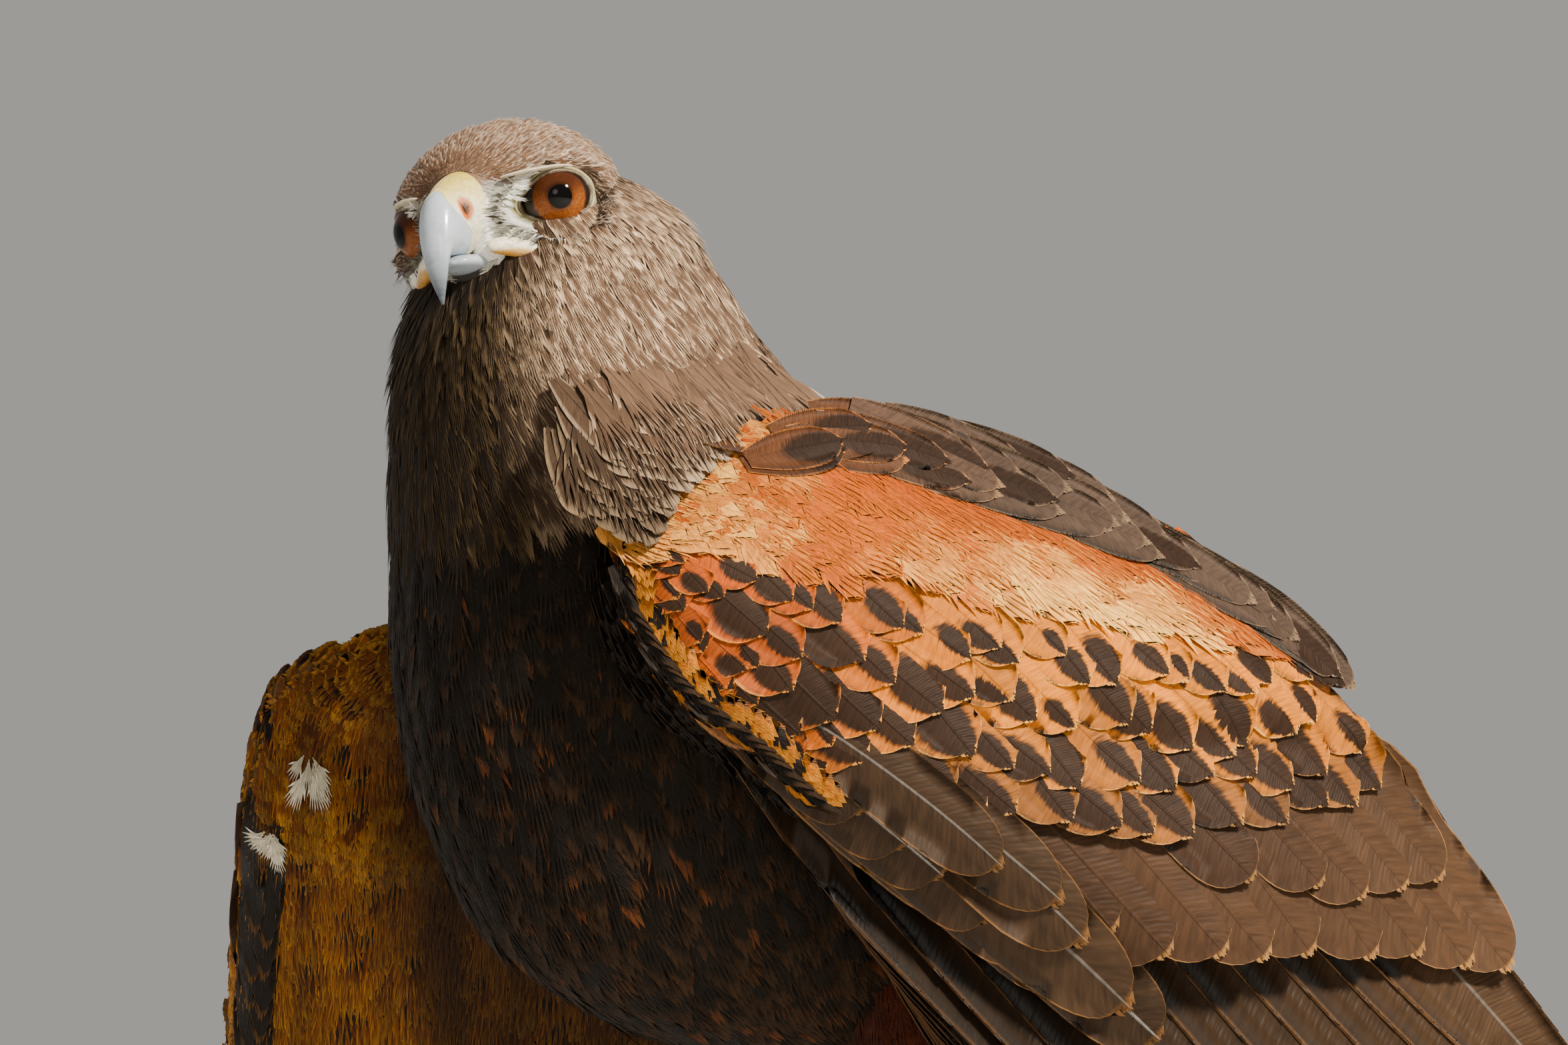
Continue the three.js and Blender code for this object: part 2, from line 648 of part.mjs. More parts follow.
for (const { name, sign } of sides) {
  const pose = WING_POSE[name];
  const group = wingGroup(sign, pose);
  group.updateWorldMatrix(true, false);
  const place = wingSheet(sign, pose);
  const arm = sheetLimb(place, armRows, { rings: 8, around: 10 });
  const armSeat = sheetLimb(place, armRows, { rings: 8, around: 10, grow: GAP });
  const lobe = upperArm(group, sign, pose).subtract(torsoBody(GAP)).subtract(scapularSlab(sign));
  const feathers = [...secondaries(place, pose), ...handCoverts(place, pose), ...coverts(place, pose)];
  const torsoSeat = inFrameOf(group, torsoBody(GAP));
  const wing = join([arm, inFrameOf(group, lobe), ...feathers]).subtract(torsoSeat);
  addNode(group, `wing_${name}`, wing, RUFOUS);
  const turned = (point) => opened(pose, 0.1, WRIST, point);
  const hand = sheetLimb(place, handRows, { rings: 5, around: 7, turned }).subtract(armSeat).subtract(torsoSeat);
  addNode(group, `wing_${name}_hand`, join([hand, ...primaries(place, pose)]), FLIGHT_BROWN);
}

// Tail: a runs back along it, b to the left, h out of its upper face
const tail = new THREE.Group();
tail.position.set(0, 142.6, 236.3);
tail.rotation.set(-radians(TAIL_DROP), 0, 0);
hawk.add(tail);
const TAIL_PAIRS = 6;
const TAIL_COVERTS = 4;
const tailSheet = (a, b, h) => new THREE.Vector3(b, a, h - (b * b) / 220 - (a * a) / 4200);
function rectrices() {
  const list = [];
  for (let i = 0; i < TAIL_PAIRS; i += 1) {
    for (const { sign } of sides) {
      const level = -1.5 - LAYER * (2 * i + (sign > 0 ? 0 : 1));
      const root = [6, sign * (1.5 + 1.6 * i)];
      const tip = [TAIL_LENGTH - 1.2 * i * i * 0.3, sign * (5 + 5.2 * i)];
      list.push(vane(tailSheet, { root, tip, width: 34, level, sweep: sign * 1.5 }));
    }
  }
  return list;
}
function tailCoverts(top) {
  const list = [];
  for (let i = 0; i < TAIL_COVERTS; i += 1) {
    const spread = i - (TAIL_COVERTS - 1) / 2;
    const middleFirst = Math.abs(spread) * 2;
    const level = top ? 0.6 + LAYER * (TAIL_COVERTS - middleFirst) + (spread > 0 ? 0.4 : 0) : 0;
    const under = -13.2 - LAYER * (TAIL_COVERTS - middleFirst) * 0.5 - LAYER * i * 0.5;
    list.push(
      vane(tailSheet, {
        root: [5, spread * 5.2],
        tip: [(top ? 74 : 92) - 4 * Math.abs(spread), spread * 13],
        width: 25,
        form: SHORT_VANE,
        level: top ? level * 0.5 + i * LAYER * 0.5 : under,
      }),
    );
  }
  return list;
}
const tailCoreRibs = [
  [0.3, -17, 0.3, 8, 17, 0],
  [12, -18, 12, 8, 19, 0],
  [26, -17, 26, 5, 17, 0],
  [40, -13, 40, -1, 11, 0],
  [50, -9.5, 50, -5, 4, 0],
];
const tailCore = ribbed(tailCoreRibs, { rings: 5, around: 10 });
const tailSolid = join([tailCore, ...rectrices(), ...tailCoverts(true), ...tailCoverts(false)]);
addNode(tail, 'tail', tailSolid.subtract(inFrameOf(tail, torsoBody(GAP))), TAIL_WHITE);

// Legs: feathered thigh, bare tarsus, toes and claws
const thighRibs = [
  [2, 244, 66, 262, 22, 27],
  [2, 214, 76, 226, 24, 30],
  [8, 180, 77, 190, 21, 30],
  [22, 151, 73, 158, 15, 28],
  [38, 124, 67, 129, 9.6, 27],
  [45, 106, 63, 108, 7, 27],
];
const floorBlock = fromGeometry(new THREE.BoxGeometry(600, 900, 40).translate(0, 100, -20));
const toes = [
  { name: 'middle', turn: 4, length: 46, claw: 19 },
  { name: 'inner', turn: -26, length: 31, claw: 26 },
  { name: 'outer', turn: 40, length: 35, claw: 17 },
  { name: 'hind', turn: 176, length: 25, claw: 28 },
];
for (const { name, sign } of sides) {
  const mirror = (rows) => rows.map((row) => [...row.slice(0, 5), sign * row[5]]);
  const thigh = (grow) => ribbed(mirror(thighRibs), { rings: 8, around: 12, grow });
  addNode(hawk, `thigh_${name}`, thigh(0).subtract(torsoBody(GAP)), RUFOUS);

  const foot = new THREE.Vector3(sign * FOOT_APART, FOOT_Y, 11);
  const ankle = new THREE.Vector3(sign * FOOT_APART, 54, foot.z + Math.sqrt(TARSUS_LENGTH ** 2 - 30 ** 2));
  const shank = limb(
    [
      [ankle.x, ankle.y, ankle.z + 9, 4.6, 5],
      [ankle.x, ankle.y - 1, ankle.z, 5.6, 6.4],
      [mix(ankle.x, foot.x, 0.3), mix(ankle.y, foot.y, 0.3), mix(ankle.z, foot.z, 0.3), 4.2, 4.8],
      [mix(ankle.x, foot.x, 0.75), mix(ankle.y, foot.y, 0.75), mix(ankle.z, foot.z, 0.75), 4.2, 4.8],
      [foot.x, foot.y, foot.z + 2, 5.4, 5.4],
    ],
    { rings: 6, around: 8 },
  );
  const palm = (grow) => limb(
    [
      [foot.x, foot.y + 7, 6, 5 + grow, 5 + grow],
      [foot.x, foot.y + 1, 6, 7.5 + grow, 7 + grow],
      [foot.x, foot.y - 6, 6, 6 + grow, 5.4 + grow],
    ],
    { rings: 4, around: 8 },
  );
  addNode(hawk, `tarsus_${name}`, shank.subtract(thigh(GAP)).subtract(palm(GAP)), LEG_YELLOW, 0.55);

  const toeSolids = [palm(0)];
  for (const toe of toes) {
    const angle = radians(toe.turn);
    const way = new THREE.Vector3(sign * Math.sin(angle), -Math.cos(angle), 0);
    const at = (distance, z) => foot.clone().addScaledVector(way, distance).setZ(z);
    const stations = [0, 0.26, 0.42, 0.6, 0.76, 1].map((t, i) => {
      const radius = TOE_RADIUS * [1.1, 1, 0.82, 0.98, 0.8, 0.86][i];
      const p = at(toe.length * t, radius * TOE_PRESS);
      return [p.x, p.y, p.z, radius, radius];
    });
    toeSolids.push(limb(stations, { rings: 5, around: 6 }));
    const clawPath = (t) => {
      const sweepAngle = mix(0.5, -1.15, t);
      const radius = toe.claw / 1.65;
      const forward = radius * (Math.sin(0.5) - Math.sin(sweepAngle));
      const rise = radius * (Math.cos(sweepAngle) - Math.cos(0.5));
      return at(toe.length + 1.6 + forward, 4.4 + rise);
    };
    const clawStations = [0, 0.25, 0.5, 0.75, 1].map((t) => {
      const p = clawPath(t);
      const radius = mix(2.9, 0.35, t ** 1.2);
      return [p.x, p.y, Math.max(p.z, radius + 0.35), radius, radius];
    });
    const claw = limb(clawStations, { rings: 5, around: 5 });
    addNode(hawk, `claw_${toe.name}_${name}`, claw.subtract(limb(stations, { rings: 5, around: 6, grow: GAP })), CLAW_BLACK, 0.3);
  }
  addNode(hawk, `foot_${name}`, join(toeSolids).subtract(floorBlock), LEG_YELLOW, 0.55);
}

// The origin is on the floor under the middle of the whole bird
const reach = new THREE.Box3().setFromObject(hawk, true);
const middleOfReach = reach.getCenter(new THREE.Vector3());
hawk.position.set(-middleOfReach.x, -middleOfReach.y, 0);

export default hawk;
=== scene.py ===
# %% [markdown]
# A Harris's hawk stands still, life size, with its left wing folded and its right wing drooped.
# The solid model gives its size and pose. This notebook dresses it: one skin over the flesh, and
# feathers laid over that skin and over the wings in the order they grow in. Hair systems would be
# quicker to place, but they are lost in an export, so every feather here is a small mesh vane.

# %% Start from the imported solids
import bpy
import math
import numpy as np
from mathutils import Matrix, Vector


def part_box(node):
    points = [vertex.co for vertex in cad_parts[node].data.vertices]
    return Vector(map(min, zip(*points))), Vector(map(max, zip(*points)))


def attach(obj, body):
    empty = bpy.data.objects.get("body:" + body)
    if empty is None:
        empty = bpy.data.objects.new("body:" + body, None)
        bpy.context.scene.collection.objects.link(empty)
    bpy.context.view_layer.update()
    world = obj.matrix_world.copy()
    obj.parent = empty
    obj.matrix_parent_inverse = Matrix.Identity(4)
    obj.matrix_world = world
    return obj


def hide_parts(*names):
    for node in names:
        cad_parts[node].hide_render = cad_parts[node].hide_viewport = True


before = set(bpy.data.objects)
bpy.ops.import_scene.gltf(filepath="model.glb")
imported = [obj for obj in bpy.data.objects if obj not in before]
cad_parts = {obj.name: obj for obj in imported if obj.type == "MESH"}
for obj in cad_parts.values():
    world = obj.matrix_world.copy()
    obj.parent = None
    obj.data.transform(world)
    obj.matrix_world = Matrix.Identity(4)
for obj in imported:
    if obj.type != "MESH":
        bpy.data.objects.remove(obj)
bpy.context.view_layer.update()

bpy.ops.object.select_all(action="DESELECT")
MM = 0.001
chance = np.random.default_rng(20117)

# %% [markdown]
# The render follows the same named sizes as the solids, so the places below repeat them. They are
# in millimetres. The bird faces -Y, and its left side is +X.

# %% Sizes and pose
EYE_RADIUS = 8.8
EYE_CENTRE = np.array([16.7, 3.5, 0.0])
EYE_GAZE = np.array([0.55, -0.83, -0.07])
HEAD_PLACE = np.array([8.0, -83.0, 393.8])
HEAD_TURN = {"yaw": 32.7, "pitch": 11.8, "roll": -6.9}
WING_POSE = {
    "left": {"wrist": (60, -69.3, 306), "out": 11, "drop": 20, "lean": 14,
             "open_outer": 0, "open_inner": 0, "bow": 3, "curve": (110, 170)},
    "right": {"wrist": (-95, -86, 279), "out": -12, "drop": 12, "lean": 54,
              "open_outer": 47, "open_inner": 14, "bow": 8, "curve": (340, 420)},
}
WING_CHORD = 345
TAIL_LENGTH = 240
TAIL_DROP = 44
TORSO_RIBS = [
    [-98, 326, 0, 360, 45, 0], [-98, 296, 24, 352, 50, 0], [-92, 264, 50, 339, 54, 0],
    [-74, 232, 79, 320, 55, 0], [-34, 210, 106, 298, 53, 0], [32, 204, 128, 277, 44, 0],
    [90, 210, 144, 261, 31, 0], [126, 217, 156, 250, 19, 0],
]
HEAD_RIBS = [
    [37, -12, 37, 4, 8, 0], [31, -20, 31, 14.5, 19, 0], [20, -26, 19, 20, 25, 0],
    [6, -28, 5, 20.8, 27.2, 0], [-4, -26, -4, 17.2, 23.6, 0], [-10.5, -19.5, -10.5, 11.6, 12.2, 0],
    [-15, -16, -15, 8.8, 8.4, 0],
]
NECK_RIBS = [
    [-98, 324, 0, 358, 45, 0], [-98.5, 346, -14, 374, 38.5, 0], [-98, 366, -25, 388, 32, 2],
    [-92, 384, -36, 400, 26, 3], [-84, 398, -52, 408, 14, 5],
]
THIGH_RIBS = [
    [2, 244, 66, 262, 22, 27], [2, 214, 76, 226, 24, 30], [8, 180, 77, 190, 21, 30],
    [22, 151, 73, 158, 15, 28], [38, 124, 67, 129, 9.6, 27], [45, 106, 63, 108, 7, 27],
]
SIDES = [("left", 1), ("right", -1)]

# %% Where the solids stand
def turned(axis, degrees):
    c = math.cos(math.radians(degrees))
    s = math.sin(math.radians(degrees))
    if axis == "x":
        return np.array([[1, 0, 0], [0, c, -s], [0, s, c]])
    if axis == "y":
        return np.array([[c, 0, s], [0, 1, 0], [-s, 0, c]])
    return np.array([[c, -s, 0], [s, c, 0], [0, 0, 1]])

HEAD_AXES = turned("z", HEAD_TURN["yaw"]) @ turned("x", HEAD_TURN["pitch"]) @ turned("y", HEAD_TURN["roll"])

def from_head(points):
    return points @ HEAD_AXES.T + HEAD_PLACE

def into_head(points):
    return (points - HEAD_PLACE) @ HEAD_AXES

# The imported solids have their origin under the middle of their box, and the sizes above have it
# under the trunk, so everything is moved by the same step, which the left eye gives.
eye_low, eye_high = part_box("eye_left")
SHIFT = np.array((eye_low + eye_high) / 2) - from_head(EYE_CENTRE) * MM
SHIFT[2] = 0
print("step from the trunk's origin to the model's", SHIFT.round(4))

# %% [markdown]
# The photograph looks at the bird from its front left, from a little below the eye. The lens is
# long, so the camera stands well back. The light comes from above and from the right of the
# picture, and the breast is left in its own shade.

# %% Camera
TARGET = Vector((SHIFT[0], SHIFT[1], 0.330))
AZIMUTH = math.radians(60)
ELEVATION = math.radians(-9)
CAMERA_DISTANCE = 1.5
PHOTO_WIDTH = 2352
LENS_IN_PIXELS = 9600
SENSOR_WIDTH = 36.0
view_line = Vector((-math.sin(AZIMUTH) * math.cos(ELEVATION), math.cos(AZIMUTH) * math.cos(ELEVATION),
                    -math.sin(ELEVATION)))
camera_data = bpy.data.cameras.new("camera")
camera_data.lens = SENSOR_WIDTH * LENS_IN_PIXELS / PHOTO_WIDTH
camera_data.sensor_width = SENSOR_WIDTH
camera_data.clip_start = 0.05
camera = bpy.data.objects.new("camera", camera_data)
camera.location = TARGET - view_line * CAMERA_DISTANCE
camera.rotation_euler = view_line.to_track_quat("-Z", "Y").to_euler()
bpy.context.scene.collection.objects.link(camera)
bpy.context.scene.camera = camera
print("camera at", [round(v, 3) for v in camera.location])

# %% Lights
def area_light(name, place, size, power, colour):
    data = bpy.data.lights.new(name, "AREA")
    data.shape = "DISK"
    data.size = size
    data.energy = power
    data.color = colour
    lamp = bpy.data.objects.new(name, data)
    lamp.location = Vector(place) + Vector((SHIFT[0], SHIFT[1], 0))
    lamp.rotation_euler = (TARGET - lamp.location).to_track_quat("-Z", "Y").to_euler()
    bpy.context.scene.collection.objects.link(lamp)
    return lamp

area_light("key", (1.5, 0.25, 1.45), 0.3, 98, (1.0, 0.92, 0.78))
area_light("fill", (1.7, -1.3, 0.7), 0.7, 4.5, (1.0, 0.96, 0.9))
area_light("back", (-1.4, 0.4, 1.3), 0.9, 4, (1.0, 0.96, 0.9))
world = bpy.data.worlds.new("pale room")
world.use_nodes = True
world.node_tree.nodes["Background"].inputs["Color"].default_value = (0.9, 0.87, 0.82, 1)
world.node_tree.nodes["Background"].inputs["Strength"].default_value = 0.42
bpy.context.scene.world = world

# %% Floor
bpy.ops.mesh.primitive_plane_add(size=9, location=(0, 0, 0))
floor = bpy.context.object
floor.name = "floor"
floor_finish = bpy.data.materials.new("pale floor")
floor_finish.use_nodes = True
floor_finish.node_tree.nodes["Principled BSDF"].inputs["Base Color"].default_value = (0.72, 0.71, 0.69, 1)
floor_finish.node_tree.nodes["Principled BSDF"].inputs["Roughness"].default_value = 0.85
floor.data.materials.append(floor_finish)
floor.select_set(False)

# %% [markdown]
# Curves through rows of numbers give every rounded form: a row is one rib, and the surface runs
# smoothly through the ribs. The same function serves the skin and the places of the feathers.

# %% Surfaces through ribs
def through(rows, t):
    rows = np.asarray(rows, float)
    spans = len(rows) - 1
    at = np.clip(np.asarray(t, float), 0, 1) * spans
    first = np.minimum(at.astype(int), spans - 1)
    f = (at - first)[..., None]
    p0 = rows[np.clip(first - 1, 0, spans)]
    p1 = rows[first]
    p2 = rows[first + 1]
    p3 = rows[np.clip(first + 2, 0, spans)]
    cubic = -p0 + 3 * p1 - 3 * p2 + p3
    return 0.5 * (2 * p1 + (p2 - p0) * f + (2 * p0 - 5 * p1 + 4 * p2 - p3) * f ** 2 + cubic * f ** 3)

def rib_surface(rows, t, turn, grow=0.0, power=2.15):
    row = through(rows, t)
    low_y, low_z, high_y, high_z, half, middle = [row[..., n] for n in range(6)]
    rise = np.stack([np.zeros_like(half), (high_y - low_y) / 2, (high_z - low_z) / 2], -1)
    depth = np.linalg.norm(rise, axis=-1)
    centre = np.stack([middle, (low_y + high_y) / 2, (low_z + high_z) / 2], -1)

    def bend(value):
        return np.sign(value) * np.abs(value) ** (2 / power)

    up = bend(np.sin(turn)) * (depth + grow) / depth
    side = bend(np.cos(turn)) * (half + grow)
    return centre + rise * up[..., None] + side[..., None] * np.array([1.0, 0, 0])

def unit(vectors):
    return vectors / np.maximum(np.linalg.norm(vectors, axis=-1, keepdims=True), 1e-9)

def frame_of(surface, t, turn):
    """Point, outward normal and direction of growing t, at each place on a surface."""
    here = surface(t, turn)
    step = 0.004
    along = surface(np.clip(t + step, 0, 1), turn) - surface(np.clip(t - step, 0, 1), turn)
    around = surface(t, turn + step) - surface(t, turn - step)
    normal = unit(np.cross(along, around))
    middle = surface(t, turn + math.pi) * 0.5 + here * 0.5
    flip = np.sign(np.sum(normal * (here - middle), -1, keepdims=True))
    return here, normal * np.where(flip == 0, 1, flip), unit(along)

MEASURES_ALONG = 160
MEASURES_AROUND = 181

def rows_over(surface, start, end, row_gap, feather_gap, jitter=0.3):
    """Staggered rows of places over a surface, evenly spaced both ways."""
    fine = np.linspace(start, end, MEASURES_ALONG)
    turns = np.linspace(0, 2 * math.pi, MEASURES_AROUND)
    grid = surface(np.repeat(fine[:, None], MEASURES_AROUND, 1), np.repeat(turns[None], MEASURES_ALONG, 0))
    steps = np.linalg.norm(np.diff(grid, axis=0), axis=-1).max(axis=1)
    run = np.concatenate([[0], np.cumsum(steps)])
    count = max(int(run[-1] / row_gap), 2)
    all_t = []
    all_turn = []
    for k in range(count):
        t = np.interp((k + 0.5) / count * run[-1], run, fine)
        ring = surface(np.full(MEASURES_AROUND, t), turns)
        lengths = np.concatenate([[0], np.cumsum(np.linalg.norm(np.diff(ring, axis=0), axis=-1))])
        number = max(int(lengths[-1] / feather_gap), 4)
        spots = (np.arange(number) + 0.5 * (k % 2) + chance.uniform(-jitter, jitter, number)) / number
        all_turn.append(np.interp((spots % 1) * lengths[-1], lengths, turns))
        all_t.append(np.full(number, t) + chance.uniform(-jitter, jitter, number) * (end - start) / count)
    return np.clip(np.concatenate(all_t), 0, 1), np.concatenate(all_turn)

# %% [markdown]
# A plain mesh is made from arrays of points and faces. Colours and UV maps are written as arrays
# too, because a bird has tens of thousands of feathers and a loop over them would take minutes.

# %% Meshes from arrays
def linear(hex_colour):
    value = np.array([int(hex_colour[n:n + 2], 16) for n in (0, 2, 4)]) / 255
    return np.where(value <= 0.04045, value / 12.92, ((value + 0.055) / 1.055) ** 2.4)

def mesh_object(name, points_mm, faces):
    mesh = bpy.data.meshes.new(name)
    faces = np.asarray(faces, dtype=np.int32)
    corners = faces.shape[1]
    mesh.vertices.add(len(points_mm))
    mesh.vertices.foreach_set("co", (np.asarray(points_mm) * MM + SHIFT).ravel())
    mesh.loops.add(faces.size)
    mesh.loops.foreach_set("vertex_index", faces.ravel())
    mesh.polygons.add(len(faces))
    mesh.polygons.foreach_set("loop_start", np.arange(0, faces.size, corners, dtype=np.int32))
    mesh.polygons.foreach_set("loop_total", np.full(len(faces), corners, dtype=np.int32))
    mesh.polygons.foreach_set("use_smooth", np.ones(len(faces), dtype=bool))
    mesh.update(calc_edges=True)
    obj = bpy.data.objects.new(name, mesh)
    bpy.context.scene.collection.objects.link(obj)
    return obj

def select_only(*objects):
    bpy.ops.object.select_all(action="DESELECT")
    for obj in objects:
        obj.select_set(True)
    bpy.context.view_layer.objects.active = objects[0]

def face_outward(obj):
    select_only(obj)
    bpy.ops.object.mode_set(mode="EDIT")
    bpy.ops.mesh.select_all(action="SELECT")
    bpy.ops.mesh.normals_make_consistent(inside=False)
    bpy.ops.object.mode_set(mode="OBJECT")
    return obj

def joined(name, *objects):
    select_only(*objects)
    bpy.ops.object.join()
    objects[0].name = name
    return objects[0]

def ring_faces(rings, around):
    """Faces of a closed form: rings of points, and after them one point for each end."""
    faces = []
    for k in range(rings - 1):
        for i in range(around):
            j = (i + 1) % around
            a, b = k * around + i, k * around + j
            faces += [[a, b, b + around], [a, b + around, a + around]]
    end = (rings - 1) * around
    first, last = rings * around, rings * around + 1
    for i in range(around):
        j = (i + 1) % around
        faces += [[first, j, i], [last, end + i, end + j]]
    return faces

VANE_THICKNESS = 0.0004

def thickened(obj):
    thick = obj.modifiers.new("thickness", "SOLIDIFY")
    thick.thickness = VANE_THICKNESS
    bpy.context.view_layer.objects.active = obj
    bpy.ops.object.modifier_apply(modifier="thickness")
    return obj

def point_colours(obj, name, colours):
    layer = obj.data.attributes.new(name, "FLOAT_COLOR", "POINT")
    rgba = np.ones((len(obj.data.vertices), 4))
    rgba[:, :colours.shape[-1]] = colours
    layer.data.foreach_set("color", rgba.ravel())

def uv_map(obj, name, per_point, active=False):
    layer = obj.data.uv_layers.new(name=name)
    index = np.empty(len(obj.data.loops), dtype=np.int32)
    obj.data.loops.foreach_get("vertex_index", index)
    layer.data.foreach_set("uv", np.asarray(per_point)[index].ravel())
    if active:
        obj.data.uv_layers.active = layer
        layer.active_render = True
    return layer

def skin_spots(turn, t):
    """Where a feather's root lies on an unwrap of the skin: round it and along it."""
    return np.stack([turn / (2 * math.pi), t], -1) * 0.96 + 0.02

def roots_of(tips, length, angle):
    """Roots of feathers that reach these tips, each in its own direction on a sheet, in radians."""
    return tips - np.reshape(length, (-1, 1)) * np.stack([np.cos(angle), np.sin(angle)], -1)

def place_piece(obj, slot, *nodes):
    """The piece rides on the bird's one body and stands for its solids, which are hidden; the slot is not
    used.
    """
    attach(obj, "root")
    if nodes:
        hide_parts(*nodes)
    print(obj.name, len(obj.data.polygons), "faces")

# %% [markdown]
# One vane is a small grid, wider past its middle and rounded at its tip, with short points of barb
# along its edges. It is arched across like a gutter, which is what makes rows of feathers catch the
# light one by one. The same grid is repeated for every feather of a tract, each with its own size.

# %% The shape of a vane
def vane_shape(rows, cols, base=0.45, fullest=0.6, tip=0.55, barb=0.12, round_tip=0.14, rounding=0.0,
               blunt=2.1, close=1.0):
    """Places along and across one vane, its half width there, and its triangles."""
    along = []
    across = []
    for k in range(rows + 1):
        for j in range(cols + 1):
            along.append(k / rows)
            across.append(2 * j / cols - 1)
    faces = []
    wide = cols + 1
    for k in range(rows):
        for j in range(cols):
            a = k * wide + j
            faces.append([a, a + 1, a + wide + 1])
            faces.append([a, a + wide + 1, a + wide])
    for k in range(rows):
        for edge, sign in ((0, -1), (cols, 1)):
            low = k * wide + edge
            high = low + wide
            along.append((k + 1.35) / rows)
            across.append(sign * (1 + barb))
            point = len(along) - 1
            faces.append([low, high, point] if sign > 0 else [low, point, high])
    for j in range(cols):
        low = rows * wide + j
        along.append(1 + barb * 0.9)
        across.append((2 * j + 1) / cols - 1)
        faces.append([low, low + 1, len(along) - 1])
    u = np.array(along)
    v = np.array(across)
    u = np.where(u < 1, 1 - np.maximum(1 - u, 0) ** close, u)
    rising = base + (1 - base) * np.sin(np.clip(u / fullest, 0, 1) * math.pi / 2)
    falling = 1 - (1 - tip) * np.clip((u - fullest) / (1 - fullest), 0, 1.2) ** 2
    end = np.clip((u - fullest) / (1 - fullest), 0, 1)
    falling = np.where(rounding > 0, np.sqrt(1 - rounding * end ** blunt), falling)
    width = rising * falling
    reach = u - round_tip * v ** 2 * np.clip(u, 0, 1) ** 3
    return {"u": u, "v": v, "width": width, "reach": reach, "faces": np.array(faces)}

def wisp_shape(blades=7, fan=0.75):
    """A loose feather: a few fine blades of barb that part toward the tip."""
    along = []
    across = []
    faces = []
    for k in range(blades):
        side = 2 * k / (blades - 1) - 1
        start = 0.32 * abs(side)
        reach = 1 - 0.3 * side * side + 0.07 * (k % 2)
        for u, v, half in ((start, 0.25 * side, 0.1), ((start + reach) / 2, 0.7 * side, 0.16)):
            along += [u, u]
            across += [v - half, v + half]
        along.append(reach)
        across.append(side * (1 + fan * 0.2))
        a = 5 * k
        faces += [[a, a + 1, a + 3], [a, a + 3, a + 2], [a + 2, a + 3, a + 4]]
    u = np.array(along)
    v = np.array(across)
    return {"u": u, "v": v, "width": np.ones(len(u)), "reach": u, "faces": np.array(faces)}

WISP = wisp_shape()
TINY = vane_shape(2, 2, barb=0.22)
SMALL = vane_shape(3, 2, barb=0.16)
MIDDLE = vane_shape(6, 2, barb=0.05, fullest=0.5, round_tip=0.06, rounding=0.93)
BROAD = vane_shape(14, 4, barb=0.02, fullest=0.5, round_tip=0.04, rounding=0.975, blunt=2.8, close=1.6)
LARGE = vane_shape(16, 4, barb=0.008, fullest=0.5, round_tip=0.02, rounding=0.985, blunt=5, close=1.8)
LONG = vane_shape(22, 4, base=0.3, fullest=0.3, tip=0.45, barb=0.02, round_tip=0.02)

# %% [markdown]
# Feathers of the body stand on a point of the skin, lie along it and rise a little at the tip.
# Feathers of the wing and the tail follow the curved sheet they grow on, so they can be long and
# still lie one over another without crossing.

# %% Laying feathers
PATCH = 0.003  # width of one feather on the map used for baking

